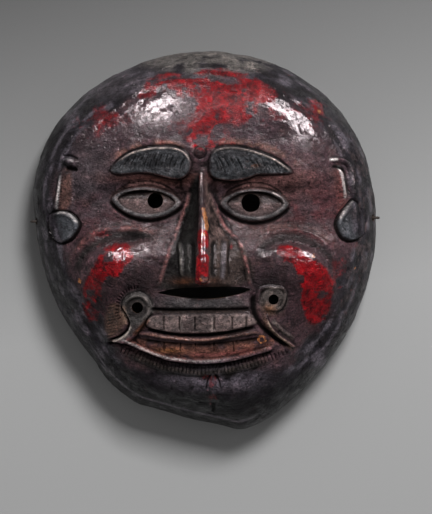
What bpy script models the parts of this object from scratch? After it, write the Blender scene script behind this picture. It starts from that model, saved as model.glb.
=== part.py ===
"""Carved wooden demon mask, lying face up on its back rim.

+X is the viewer's right, +Y is the crown and +Z is out of the face. The back rim lies on z = 0.
The face is drawn in millimetres on a carver's plan, and the plan is laid out at the driving sizes.
"""

import math

import bpy
import numpy as np
from mathutils import Vector

# Driving sizes of the block and the hollow, in metres
MASK_WIDTH = 0.236
MASK_HEIGHT = 0.260
MASK_DEPTH = 0.112
RIM_DEPTH = 0.012
WALL = 0.010

# Driving sizes of the holes, in metres
LEFT_PUPIL = 0.0105
RIGHT_PUPIL = 0.0125
LEFT_CORNER_HOLE = 0.0075
RIGHT_CORNER_HOLE = 0.0068
NOSTRIL_SLIT_WIDTH = 0.063
NOSTRIL_SLIT_GAP = 0.0085

# Driving sizes of the ties, in metres
TIE_HOLE = 0.0048
TIE_HEIGHT = 0.037
THONG = 0.0018
TIE_KNOT = 0.0066
TIE_TAIL = 0.0045
CLEARANCE = 0.0003

# The plan's own size in millimetres, which the driving sizes stretch
PLAN_WIDTH = 236.0
PLAN_HEIGHT = 260.0
PLAN_DEPTH = 108.5

# Fineness of the carved front, the hollow and the finished solid
FRONT_STEPS = 240
HOLLOW_STEPS = 48
FINISHED_TRIANGLES = 8400

# Radius of the back rim in plan millimetres, by angle from the viewer's right
OUTLINE = ((0, 117.6), (15, 120.6), (30, 125.4), (45, 128.8), (60, 130.1), (90, 130.0), (120, 129.3),
           (135, 129.6), (150, 127.6), (165, 121.7), (180, 114.7), (195, 111.2), (210, 110.0),
           (225, 111.6), (236, 116.7), (246, 120.5), (256, 120.5), (266, 123.0), (275, 127.4),
           (281, 132.2), (287, 131.0), (294, 127.5),
           (303, 123.0), (315, 119.0), (330, 116.6), (345, 115.9))

# Metres per plan millimetre along each axis, and the section of the dome in plan millimetres
FULL = np.array((MASK_WIDTH / PLAN_WIDTH, MASK_HEIGHT / PLAN_HEIGHT, MASK_DEPTH / PLAN_DEPTH))
PLUMB = RIM_DEPTH / FULL[2]
DOME = 71.0
SQUARENESS = 2.6


def smooth(share):
    """Eases a share from 0 to 1 with level ends."""
    held = np.clip(share, 0.0, 1.0)
    return held * held * (3.0 - 2.0 * held)


def hump(share):
    """A round hump, 1 at its middle and 0 where the share reaches 1."""
    return 0.5 + 0.5 * np.cos(math.pi * np.clip(np.abs(share), 0.0, 1.0))


def mound(x, y, middle, reach, height, turn=0.0):
    """A soft oval mound on the plan."""
    across = (x - middle[0]) * math.cos(turn) + (y - middle[1]) * math.sin(turn)
    along = (y - middle[1]) * math.cos(turn) - (x - middle[0]) * math.sin(turn)
    return height * np.exp(-(across / reach[0]) ** 2 - (along / reach[1]) ** 2)


def eased(y, stations, values):
    """Values between stations, rounded at each station."""
    fine = np.linspace(stations[0], stations[-1], 121)
    curve = np.interp(fine, stations, values)
    for _ in range(6):
        curve[1:-1] = (curve[:-2] + 2.0 * curve[1:-1] + curve[2:]) / 4.0
    return np.interp(y, fine, curve)


def drawn_curve(points, closed=False, steps=7):
    """A smooth curve through points on the plan."""
    knots = np.array(points, float)
    if closed:
        knots = np.vstack((knots[-1:], knots, knots[:2]))
    else:
        knots = np.vstack((2.0 * knots[:1] - knots[1:2], knots, 2.0 * knots[-1:] - knots[-2:-1]))
    share = np.linspace(0.0, 1.0, steps, endpoint=False)[:, None]
    pieces = []
    for a, b, c, d in zip(knots[:-3], knots[1:-2], knots[2:-1], knots[3:]):
        pieces.append(0.5 * (2.0 * b + (c - a) * share + (2.0 * a - 5.0 * b + 4.0 * c - d) * share ** 2
                             + (3.0 * b - a - 3.0 * c + d) * share ** 3))
    pieces.append(knots[-2][None, :])
    return np.vstack(pieces)


def span(x, y, line):
    """Distance of each place on the plan from a line, and how far along the line it is."""
    starts = line[:-1]
    runs = line[1:] - starts
    lengths = np.maximum(np.hypot(runs[:, 0], runs[:, 1]), 1e-9)
    before = np.concatenate(([0.0], np.cumsum(lengths)))[:-1]
    nearest = np.full(x.shape, 1e9)
    along = np.zeros(x.shape)
    for start, run, length, reached in zip(starts, runs, lengths, before):
        share = ((x - start[0]) * run[0] + (y - start[1]) * run[1]) / length ** 2
        share = np.clip(share, 0.0, 1.0)
        away = np.hypot(x - start[0] - share * run[0], y - start[1] - share * run[1])
        closer = away < nearest
        nearest = np.where(closer, away, nearest)
        along = np.where(closer, reached + share * length, along)
    return nearest, along / (before[-1] + lengths[-1])


def around(x, y, line, reach):
    """The places close enough to a line for its carving to touch them."""
    low = line.min(axis=0) - reach
    high = line.max(axis=0) + reach
    return (x > low[0]) & (x < high[0]) & (y > low[1]) & (y < high[1])


def stroke(x, y, points, reach, height, taper=0.15, closed=False):
    """A ridge along a drawn curve, or a gouge where its height is below 0."""
    line = drawn_curve(points, closed)
    touched = around(x, y, line, reach)
    away, along = span(x[touched], y[touched], line)
    ends = 1.0
    if taper > 0.0:
        ends = smooth(along / taper) * smooth((1.0 - along) / taper)
    carved = np.zeros(x.shape)
    carved[touched] = height * hump(away / reach) * ends
    return carved


def depth_inside(x, y, loop):
    """Distance inside a closed loop, and below 0 outside it."""
    away, _ = span(x, y, loop)
    inside = np.zeros(x.shape, bool)
    for (x0, y0), (x1, y1) in zip(loop[:-1], loop[1:]):
        if y0 == y1:
            continue
        crosses = ((y0 > y) != (y1 > y)) & (x < (x1 - x0) * (y - y0) / (y1 - y0) + x0)
        inside ^= crosses
    return np.where(inside, away, -away)


def pad(x, y, points, height, edge, crown=0.0):
    """A raised pad inside a drawn loop, with a sloped edge and a crowned top."""
    loop = drawn_curve(points, closed=True)
    touched = around(x, y, loop, edge)
    deep = depth_inside(x[touched], y[touched], loop)
    raised = np.zeros(x.shape)
    raised[touched] = height * smooth(0.5 + deep / edge) + crown * smooth(deep / 9.0)
    return raised


def almond(middle, half_length, above, below, turn):
    """Outline of an eye: two arcs that meet in pointed corners."""
    points = []
    for step in range(24):
        angle = 2.0 * math.pi * step / 24
        across = half_length * math.cos(angle)
        rise = math.copysign(abs(math.sin(angle)) ** 1.35, math.sin(angle))
        up = rise * (above if rise > 0.0 else below)
        points.append((middle[0] + across * math.cos(turn) - up * math.sin(turn),
                       middle[1] + across * math.sin(turn) + up * math.cos(turn)))
    return points


def big_forms(x, y):
    """Heights of the large forms above the plain dome."""
    side = np.abs(x)
    # Forehead and the ledge that carries the brows
    height = mound(x, y, (0, 88), (78, 30), 3.5)
    height += mound(x, y, (0, 57), (62, 13), 3.0)
    # Sunk band of the eyes, falling in under the brows and easing out over the cheeks
    soft = 15.0 + 9.0 * smooth((side - 52.0) / 26.0)
    sunk = smooth((46.0 - y) / soft) * smooth((y + 14.0) / 30.0)
    sides = eased(side, (0, 9, 16, 56, 84, 106), (3.5, 5.5, 8.5, 7.5, 4.0, 0.0))
    height -= sides * sunk
    # Nose
    middle = -0.8
    rise = eased(y, (-38, -34, -31, -29, -20, -6, 10, 28, 41, 48), (0, 0, 14, 26, 25, 20, 16.0, 11.5, 4.0, 0))
    half = eased(y, (-34, -20, -6, 7, 20, 34, 48), (32.5, 28.5, 22.5, 17, 12.5, 9, 7))
    out = np.abs(x - middle) / half
    height += rise * (0.62 * smooth(1.0 - out) + 0.38 * np.exp(-(out / 0.27) ** 2))
    # Cheeks, muzzle, chin and the hollows beside the mouth
    height += mound(x, y, (-59, -20), (26, 20), 9.0)
    height += mound(x, y, (65, -20), (26, 21), 9.0)
    height += 8.5 * smooth(1.35 - 1.1 * np.hypot((x + 1.0) / 50.0, (y + 60.0) / 29.0))
    height += mound(x, y, (4, -101), (30, 12), 5.0)
    height += mound(x, y, (-1, -40), (32, 9), 3.0)
    height -= mound(x, y, (-72, -66), (16, 26), 3.0)
    height -= mound(x, y, (74, -66), (16, 26), 3.0)
    return height


# Drawn outlines of the brows, the eyes, the lobes of the ears, the upper teeth and the lower lip, on the plan
LEFT_BROW = ((-61.5, 46), (-57, 51.8), (-48.6, 57.2), (-38.8, 60), (-28.9, 61), (-19.5, 60.5), (-12.4, 57.2),
             (-9, 51), (-10, 45), (-14.5, 40.8), (-23, 41), (-38.8, 44.4), (-56, 43.6))
RIGHT_BROW = ((3.8, 49), (5.2, 56.5), (9.2, 59.7), (16, 61), (24, 60.4), (32, 58.7), (40.2, 56), (48.2, 52.4),
              (58.2, 44.8), (45, 43.5), (35, 43.2), (27.5, 40.6), (18, 39.5), (8, 40.6), (4.4, 43.5))
EYES = (((-38.1, 26.0), 22.8, 8.8, 11.4, -0.06), ((33.6, 24.0), 22.3, 9.8, 11.0, -0.01))
LEFT_LOBE = ((-101.3, 17.7), (-93.2, 18.3), (-87.8, 15.7), (-83.9, 10.9), (-84.6, 7.4), (-89.1, 1.5),
             (-94.5, -1.2), (-98.6, 0.2), (-102.4, 7.6), (-103.1, 14.3))
RIGHT_LOBE = ((99.9, 25.8), (94.8, 21), (90.1, 15), (88.8, 9.6), (92.1, 2.9), (96.8, 0.2), (102.9, 1.5),
              (106.5, 5.5), (107, 12.3), (104.6, 19))
UPPER_TEETH = ((-36.5, -52), (-29, -49.6), (-3, -48.6), (24, -48.4), (31.8, -49), (35, -52.5), (34.2, -55.3),
               (14, -59.9), (-6, -61.2), (-22, -60.5), (-36.6, -57.2))
LOWER_LIP = ((-58, -64.5), (-50, -68), (-41, -72), (-32, -75.7), (-22, -78.4), (-3, -80.2), (17, -78.6),
             (37, -73.9), (49, -69.6))


def brow_carving(x, y):
    """Raised brow slabs with hair strokes and a thin upper rim, a trough over each and the boss between."""
    height = pad(x, y, LEFT_BROW, 2.4, 1.8, 0.3) + pad(x, y, RIGHT_BROW, 2.4, 1.8, 0.3)
    for count in range(10):
        share = (count + 0.5) / 10
        foot = -55 + 41 * share
        height += stroke(x, y, ((foot, 47.5), (foot + 2.5, 52), (foot + 5.5, 56)), 1.3, -0.8, 0.3)
        foot = 12 + 40 * share
        height += stroke(x, y, ((foot, 46), (foot - 3, 51), (foot - 5.5, 55.5)), 1.3, -0.8, 0.3)
    left_rim = [(px, py - 1.0) for px, py in LEFT_BROW[1:8]]
    right_rim = [(px, py - 1.0) for px, py in RIGHT_BROW[1:9]]
    height += stroke(x, y, left_rim, 1.3, 1.0, 0.1) + stroke(x, y, right_rim, 1.3, 1.0, 0.1)
    left_trough = [(px, py + 1.6) for px, py in LEFT_BROW[0:7]]
    right_trough = [(px, py + 1.6) for px, py in RIGHT_BROW[1:9]]
    height += stroke(x, y, left_trough, 1.7, -0.9, 0.1) + stroke(x, y, right_trough, 1.7, -0.9, 0.1)
    boss = np.hypot(x + 2.6, y - 57.6)
    height += (1.4 * smooth((3.6 - boss) / 1.6) - 0.5 * hump((boss - 4.0) / 1.0)
               + 0.4 * hump((boss - 5.8) / 1.4))
    return height


def eye_carving(x, y):
    """Eyes that slant back under their upper lids, with a rim all round and a deep line under each."""
    height = np.zeros(x.shape)
    for middle, half, above, below, turn in EYES:
        up = ((y - middle[1]) * math.cos(turn) - (x - middle[0]) * math.sin(turn)) / above
        height += pad(x, y, almond(middle, half, above, below, turn), 1.3, 1.6, 2.0)
        ball = pad(x, y, almond(middle, half - 3.6, above - 1.7, below - 2.1, turn), 1.0, 1.2)
        height -= ball * (1.7 + 1.3 * np.clip(up, -1.2, 1.0))
        rim = almond(middle, half - 1.6, above - 1.0, below - 1.0, turn)
        height += stroke(x, y, rim[1:12], 1.4, 0.9, 0.12)
        height += stroke(x, y, rim[11:] + rim[:2], 1.6, 0.4, 0.08)
        under = almond(middle, half + 1.8, above + 2.0, below + 1.7, turn)
        height += stroke(x, y, under[12:] + under[:1], 1.9, -1.9, 0.12)
        crease = almond(middle, half + 1.0, above + 3.6, below, turn)
        height += stroke(x, y, crease[1:12], 1.3, -0.4, 0.2)
    return height


def nose_carving(x, y):
    """Flat-topped ridge of the nose, the wings beside it and the creases down its flanks."""
    ridge = ((-0.6, 42), (-0.3, 24), (1.8, 12), (2.9, -6), (3.0, -20), (2.2, -27), (-4.4, -27), (-5.2, -20),
             (-4.7, -8), (-3.6, 7), (-3.1, 24), (-2.9, 42))
    height = pad(x, y, ridge, 1.5, 1.4)
    height += stroke(x, y, ((-16.6, 0), (-15.4, -10), (-14.6, -26)), 2.0, 1.7, 0.2)
    height += stroke(x, y, ((15.0, 1.5), (13.8, -10), (14.0, -25.5)), 2.8, 2.2, 0.2)
    height += stroke(x, y, ((-9.4, 2), (-8.4, -12), (-7.8, -26)), 3.4, -1.7, 0.2)
    height += stroke(x, y, ((7.4, 2), (7.2, -12), (7.4, -26)), 3.4, -1.7, 0.2)
    height += stroke(x, y, ((-9.2, 34), (-11.8, 23), (-17.1, 8), (-22.4, -6.7), (-27, -21),
                            (-30.6, -32)), 2.8, 0.8, 0.1)
    height += stroke(x, y, ((3.6, 33), (5.9, 26), (9.2, 18.3), (13.2, 9.7), (17.8, 4.5), (23.7, -2.1),
                            (27.6, -14.6), (29.6, -26), (32.5, -34)), 2.3, 0.9, 0.1)
    return height


def cheek_carving(x, y):
    """The wide arc cut over each cheek and the soft ridge that rolls over it."""
    height = stroke(x, y, ((-87, -28), (-84, -16.4), (-78.5, -9), (-69.5, -3.6), (-60, -0.4), (-49, 1.6),
                           (-39, 1.6), (-30.5, -1)), 6.0, -1.7, 0.25)
    height += stroke(x, y, ((-89, -14), (-81, -1), (-68, 6.0), (-50, 7.6), (-34, 5)), 2.8, 0.8, 0.2)
    height += stroke(x, y, ((34.5, -16), (37.9, -8), (43.8, -2.4), (52.5, 0.2), (62, 0.2), (69.5, -2.6),
                            (77.5, -7.2), (85, -14.4), (90, -24)), 6.0, -1.7, 0.25)
    height += stroke(x, y, ((35, 1.5), (46, 5.8), (60, 6.8), (74, 3.2), (86, -6)), 2.8, 0.8, 0.2)
    return height


def mouth_carving(x, y):
    """Two rows of teeth between the lips, with a scroll drilled through at each corner."""
    height = stroke(x, y, ((-37, -45.6), (-20, -46.2), (0, -46), (18, -45.5), (33, -44.9)), 2.0, -2.8, 0.06)
    height += pad(x, y, UPPER_TEETH, 2.0, 1.6, 0.8)
    height += stroke(x, y, ((-39, -58.6), (-22, -62.2), (-5, -63), (14, -61.6), (37, -57)), 1.8, -1.8, 0.1)
    height += stroke(x, y, ((-45, -62.5), (-36, -62.2), (-25, -64.2), (-3, -65.8), (14, -64), (33, -61),
                            (40, -62.5)), 2.0, 2.0, 0.1)
    height += stroke(x, y, ((-43, -66), (-24, -68.5), (-3, -69.6), (16, -68), (40, -65)), 2.6, -1.4, 0.1)
    for place in (-26.3, -15.8, -5.9, 6.6, 18.4, 27.6):
        height += stroke(x, y, ((place, -49.5), (place, -59.5)), 1.1, -1.1, 0.15)
    for place in (-27, -16, -6, 6.5, 19.5):
        height += stroke(x, y, ((place, -67.5), (place + 0.3, -74.5)), 1.1, -0.9, 0.2)
    height += stroke(x, y, LOWER_LIP, 2.4, 2.4, 0.06)
    under = [(px, py - 3.6) for px, py in LOWER_LIP]
    height += stroke(x, y, under, 3.0, -3.9, 0.1)
    height += stroke(x, y, [(px, py - 4.4) for px, py in under], 2.6, 1.2, 0.15)
    height += left_corner_carving(x, y)
    height += right_corner_carving(x, y)
    return height


def left_corner_carving(x, y):
    """Scroll at the viewer's left: a drilled boss running down into a tail, and the cheek's fold beside it."""
    boss = np.hypot(x + 44.2, y + 44.8)
    tail = ((-53, -45), (-50.4, -51), (-49.4, -56), (-51.6, -61), (-57, -65.4), (-62, -67), (-54, -68),
            (-47, -65), (-42.6, -58.6), (-38, -51.6), (-36, -45))
    height = 2.6 * np.maximum(smooth((10.6 - boss) / 2.2), pad(x, y, tail, 1.0, 2.2))
    height += 1.3 * hump((boss - 8.8) / 2.2) * smooth((y + 45.0) / 5.0)
    height -= 0.7 * smooth((8.0 - boss) / 2.0)
    fold_edge = ((-55, -43), (-51.6, -49), (-49.4, -54.6), (-51.4, -60), (-56.4, -64.4), (-64, -67.2))
    height += stroke(x, y, [(px - 6.5, py + 2.0) for px, py in fold_edge], 8.5, 2.6, 0.3)
    height += stroke(x, y, fold_edge, 1.7, -3.4, 0.1)
    height += stroke(x, y, ((-66, -69.4), (-58, -68.8), (-51, -70.5), (-44, -74)), 2.0, -2.6, 0.15)
    return height


def right_corner_carving(x, y):
    """Scroll at the viewer's right: a squared ring, the channel that runs down from it and two edges."""
    boss = np.hypot(x - 45.8, y + 39.2)
    height = 1.5 * smooth((8.6 - boss) / 2.2)
    ring = ((36.4, -42), (35.4, -36.4), (38.6, -31.8), (50, -31.4), (53.4, -34.6), (52.6, -40.2),
            (50.6, -44.6), (46, -47.6))
    height += stroke(x, y, ring, 1.7, 1.5, 0.1)
    channel = ((32.4, -34), (32.8, -42), (34.4, -50), (38.6, -57), (44.6, -63), (51.5, -68), (58, -72.4))
    height += stroke(x, y, channel, 3.3, -3.9, 0.12)
    edge = ((39.6, -48), (42.6, -56), (48.6, -63), (56, -68.4), (62, -72.2))
    height += stroke(x, y, edge, 1.7, 2.2, 0.12)
    height += stroke(x, y, ((45.4, -53), (52.6, -60), (61, -66.4)), 1.7, 1.3, 0.2)
    return height


def chin_carving(x, y):
    """The wedge-shaped mark down the middle of the chin."""
    height = stroke(x, y, ((5.9, -88), (5.6, -96), (6, -105)), 2.4, 1.2, 0.2)
    height += stroke(x, y, ((5.6, -88), (2, -94), (1, -101)), 1.6, -1.2, 0.25)
    height += stroke(x, y, ((6.4, -88), (10, -94), (11.4, -101)), 1.6, -1.2, 0.25)
    height += stroke(x, y, ((6, -108), (6, -117)), 2.2, -1.6, 0.3)
    return height


def ear_carving(x, y):
    """Ear ornaments on the temples: a hook, a long thin ridge and a shield-shaped lobe."""
    height = stroke(x, y, ((-95, 53.6), (-89.5, 51.9), (-84, 50.6)), 2.9, 3.2, 0.25)
    height += stroke(x, y, ((-96, 56.6), (-90, 56.6), (-83.4, 53.8)), 1.5, -1.3, 0.2)
    height += stroke(x, y, ((-93.5, 48), (-84, 46.6)), 2.3, -2.4, 0.2)
    height += stroke(x, y, ((-95.2, 46), (-96, 40), (-97.2, 33), (-99.2, 25), (-100.8, 19.4)), 1.6, 1.9, 0.08)
    height += pad(x, y, ((-96, 45), (-88.6, 44), (-86.6, 30), (-89, 20), (-99, 20), (-97.4, 32)), 0.9, 3.0)
    height += stroke(x, y, ((83.4, 53.4), (89.5, 53.6), (94.8, 52.4), (98.0, 48.6), (99.2, 40.6),
                            (100.2, 28)), 2.1, 2.6, 0.08)
    height += stroke(x, y, ((84, 49), (90, 48.8), (94.4, 46), (95.8, 38), (97, 28)), 1.8, -1.8, 0.2)
    for lobe in (LEFT_LOBE, RIGHT_LOBE):
        height += pad(x, y, lobe, 2.4, 1.3)
        height += stroke(x, y, grown(lobe, 1.4), 1.5, -1.4, 0.0, closed=True)
    left_rim = grown(LEFT_LOBE, -1.1)
    right_rim = grown(RIGHT_LOBE, -1.1)
    height += stroke(x, y, left_rim[0:5], 1.2, 0.9, 0.1) + stroke(x, y, right_rim[0:5], 1.2, 0.9, 0.1)
    return height


def grown(points, out):
    """A loop moved outwards from its middle by a distance."""
    loop = np.array(points, float)
    away = loop - loop.mean(axis=0)
    return loop + away * (out / np.hypot(away[:, 0], away[:, 1]))[:, None]


def carving(x, y):
    """All the carving that is cut square to the surface."""
    height = brow_carving(x, y) + eye_carving(x, y) + nose_carving(x, y) + cheek_carving(x, y)
    height += mouth_carving(x, y) + chin_carving(x, y) + ear_carving(x, y)
    return height


def hand_work(x, y):
    """Slow unevenness of a surface worked by hand with an adze."""
    waves = ((0.071, 0.043, 0.6), (-0.052, 0.088, 2.1), (0.113, -0.067, 4.4), (0.031, 0.127, 1.3),
             (-0.129, -0.034, 5.2))
    height = np.zeros(x.shape)
    for along_x, along_y, start in waves:
        height += 0.32 * np.sin(along_x * x + along_y * y + start)
    return height


def side_section():
    """Section from the crown of the dome down to the rim: share of the girth, share of the radius, height."""
    angle = np.linspace(0.0, math.pi / 2.0, 600)
    radius = np.append(np.sin(angle) ** (2.0 / SQUARENESS), 1.0)
    height = np.append(PLUMB + DOME * np.cos(angle) ** (2.0 / SQUARENESS), 0.0)
    mean_reach = sum(reach for _, reach in OUTLINE) / len(OUTLINE)
    girth = np.concatenate(([0.0], np.cumsum(np.hypot(np.diff(radius) * mean_reach, np.diff(height)))))
    return girth / girth[-1], radius, height


def rim_radius(angle):
    """Radius of the rim by angle, on a closed smooth curve through the outline's points."""
    turns = np.array([point[0] for point in OUTLINE], float)
    radii = np.array([point[1] for point in OUTLINE], float)
    turns = np.concatenate((turns[-3:] - 360.0, turns, turns[:3] + 360.0))
    radii = np.concatenate((radii[-3:], radii, radii[:3]))
    slope = np.gradient(radii, turns)
    place = np.degrees(angle) % 360.0
    at = np.clip(np.searchsorted(turns, place, side="right") - 1, 0, len(turns) - 2)
    width = turns[at + 1] - turns[at]
    share = (place - turns[at]) / width
    return ((1 + 2 * share) * (1 - share) ** 2 * radii[at] + share * (1 - share) ** 2 * width * slope[at]
            + share ** 2 * (3 - 2 * share) * radii[at + 1] + share ** 2 * (share - 1) * width * slope[at + 1])


def dome_sheet(steps):
    """A square net wrapped over the dome: plan places, heights and share of the radius."""
    line = np.linspace(-1.0, 1.0, steps + 1)
    a, b = np.meshgrid(line, line)
    u = a * np.sqrt(1.0 - b * b / 2.0)
    v = b * np.sqrt(1.0 - a * a / 2.0)
    angle = np.arctan2(v, u)
    girth, radius, height = side_section()
    out = np.hypot(u, v)
    share = np.interp(out, girth, radius)
    reach = rim_radius(angle) * share
    return reach * np.cos(angle), reach * np.sin(angle), np.interp(out, girth, height), share


def outward(points):
    """Unit normals of a net of points."""
    along_rows = np.gradient(points, axis=1)
    along_columns = np.gradient(points, axis=0)
    normals = np.cross(along_rows, along_columns)
    return normals / np.linalg.norm(normals, axis=2, keepdims=True)


def held_at_rim(share):
    """Forms die away towards the rim, which stays plain."""
    return 1.0 - smooth((share - 0.86) / 0.12)


def front_points(steps):
    """The carved outer surface, in metres."""
    x, y, z, share = dome_sheet(steps)
    z = z + (big_forms(x, y) + hand_work(x, y)) * held_at_rim(share)
    points = np.stack((x, y, z), axis=2)
    points = points + outward(points) * (carving(x, y) * held_at_rim(share * 0.97))[:, :, None]
    return points * FULL


def hollow_points(steps):
    """The hollow behind the face: the big forms, softened and set in by the wall's thickness."""
    x, y, z, share = dome_sheet(steps)
    forms = big_forms(x, y) * held_at_rim(share)
    for _ in range(2):
        low = forms.copy()
        low[1:-1, 1:-1] = np.minimum.reduce((forms[1:-1, 1:-1], forms[:-2, 1:-1], forms[2:, 1:-1],
                                             forms[1:-1, :-2], forms[1:-1, 2:]))
        forms = low
    for _ in range(8):
        forms[1:-1, 1:-1] = (4.0 * forms[1:-1, 1:-1] + forms[:-2, 1:-1] + forms[2:, 1:-1] + forms[1:-1, :-2]
                             + forms[1:-1, 2:]) / 8.0
    points = np.stack((x, y, z + forms), axis=2) * FULL
    sunk = points - outward(points) * WALL
    inwards = points[:, :, :2] / np.linalg.norm(points[:, :, :2], axis=2, keepdims=True).clip(1e-6)
    on_rim = points.copy()
    on_rim[:, :, :2] -= inwards * WALL
    on_rim[:, :, 2] = 0.0
    border = np.zeros(share.shape, bool)
    border[0, :] = border[-1, :] = border[:, 0] = border[:, -1] = True
    sunk[border] = on_rim[border]
    sunk[:, :, 2] = np.maximum(sunk[:, :, 2], 0.0)
    return sunk


def border_loop(steps):
    """Net numbers of the border, anticlockwise from the low corner."""
    side = steps + 1
    bottom = list(range(0, steps))
    right = [row * side + steps for row in range(0, steps)]
    top = [steps * side + column for column in range(steps, 0, -1)]
    left = [row * side for row in range(steps, 0, -1)]
    return bottom + right + top + left


def net_faces(steps, first, flip):
    """Square faces of a net whose points start at a number."""
    side = steps + 1
    faces = []
    for row in range(steps):
        for column in range(steps):
            low = first + row * side + column
            face = (low, low + 1, low + side + 1, low + side)
            faces.append(face[::-1] if flip else face)
    return faces


def material(name, colour, roughness):
    """A plain finish."""
    made = bpy.data.materials.new(name)
    made.use_nodes = True
    shader = made.node_tree.nodes["Principled BSDF"]
    shader.inputs["Base Color"].default_value = (*colour, 1.0)
    shader.inputs["Roughness"].default_value = roughness
    shader.inputs["Metallic"].default_value = 0.0
    return made


def shell_mesh():
    """The whole carved shell as one closed mesh: front, hollow and the flat rim between them."""
    front = front_points(FRONT_STEPS)
    hollow = hollow_points(HOLLOW_STEPS)
    front_border = border_loop(FRONT_STEPS)
    hollow_border = border_loop(HOLLOW_STEPS)
    first = (FRONT_STEPS + 1) ** 2
    faces = net_faces(FRONT_STEPS, 0, False) + net_faces(HOLLOW_STEPS, first, True)
    finer = FRONT_STEPS // HOLLOW_STEPS
    for number, inner in enumerate(hollow_border):
        following = first + hollow_border[(number + 1) % len(hollow_border)]
        outer = [front_border[(number * finer + step) % len(front_border)] for step in range(finer + 1)]
        for a, b in zip(outer[:-1], outer[1:]):
            faces.append((a, first + inner, b))
        faces.append((outer[-1], first + inner, following))
    mesh = bpy.data.meshes.new("mask")
    mesh.from_pydata(np.vstack((front.reshape(-1, 3), hollow.reshape(-1, 3))).tolist(), [], faces)
    mesh.update()
    return mesh


def cut(target, cutter):
    """Takes a cutter's shape out of a piece."""
    cutter.hide_render = True
    cutter.display_type = "WIRE"
    modifier = target.modifiers.new("cut " + cutter.name, "BOOLEAN")
    modifier.operation = "DIFFERENCE"
    modifier.solver = "EXACT"
    modifier.object = cutter


def drill(name, place_mm, bore):
    """A round drill straight down through the shell."""
    low = 0.25 * MASK_DEPTH
    high = 1.25 * MASK_DEPTH
    middle = (place_mm[0] * FULL[0], place_mm[1] * FULL[1], (low + high) / 2.0)
    bpy.ops.mesh.primitive_cylinder_add(vertices=24, radius=bore / 2.0, depth=high - low, location=middle)
    bpy.context.object.name = name
    return bpy.context.object


def slit_cutter():
    """Crescent saw cut through the shell under the nose, a little higher at the viewer's right."""
    steps = 14
    half = NOSTRIL_SLIT_WIDTH / 2.0
    middle = 0.3 * FULL[0]
    level = -33.8 * FULL[1]
    slant = 0.019 * NOSTRIL_SLIT_WIDTH
    arch = 0.36 * NOSTRIL_SLIT_GAP
    belly = NOSTRIL_SLIT_GAP - arch
    low = 0.25 * MASK_DEPTH
    high = 1.25 * MASK_DEPTH
    top = []
    bottom = []
    for number in range(steps + 1):
        share = -1.0 + 2.0 * number / steps
        along = middle + half * share
        rise = level + slant * share
        top.append((along, rise + arch * (1.0 - share ** 4)))
        if 0 < number < steps:
            bottom.append((along, rise - belly * (1.0 - share ** 2) * (1.0 + 0.25 * share)))
    ring = [top[0]] + bottom + top[:0:-1]
    points = [(x, y, low) for x, y in ring] + [(x, y, high) for x, y in ring]
    count = len(ring)
    faces = [tuple(range(count - 1, -1, -1)), tuple(range(count, 2 * count))]
    for number in range(count):
        following = (number + 1) % count
        faces.append((number, following, count + following, count + number))
    mesh = bpy.data.meshes.new("nostril slit")
    mesh.from_pydata(points, [], faces)
    cutter = bpy.data.objects.new("nostril slit", mesh)
    bpy.context.collection.objects.link(cutter)
    return cutter


def tie_axis(side, y_mm):
    """Where a tie hole opens in the outer wall, and the wall's outward direction there."""
    girth, radius, height = side_section()
    level = TIE_HEIGHT / FULL[2]
    share = float(np.interp(-level, -height, radius))
    above = float(np.interp(-(level + 2.0), -height, radius))
    reach = 0.0
    for angle in np.linspace(-0.5, 0.5, 401):
        turn = angle if side > 0 else math.pi - angle
        edge = float(rim_radius(np.array([turn]))[0]) * share
        if abs(edge * math.sin(turn) - y_mm) < 0.4:
            reach = edge * math.cos(turn)
    slope = math.atan2(abs(reach) * (share - above) / share, 2.0)
    mouth = Vector((reach * FULL[0], y_mm * FULL[1], TIE_HEIGHT))
    return mouth, Vector((side * math.cos(slope), 0.0, math.sin(slope)))


def tie_hole(name, side, y_mm):
    """A small drill through the side wall, square to it."""
    mouth, out = tie_axis(side, y_mm)
    length = WALL * 2.6
    bpy.ops.mesh.primitive_cylinder_add(vertices=16, radius=TIE_HOLE / 2.0, depth=length,
                                        location=mouth - out * WALL * 0.5)
    cutter = bpy.context.object
    cutter.name = name
    cutter.rotation_euler = out.to_track_quat("Z", "Y").to_euler()
    return cutter


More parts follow.
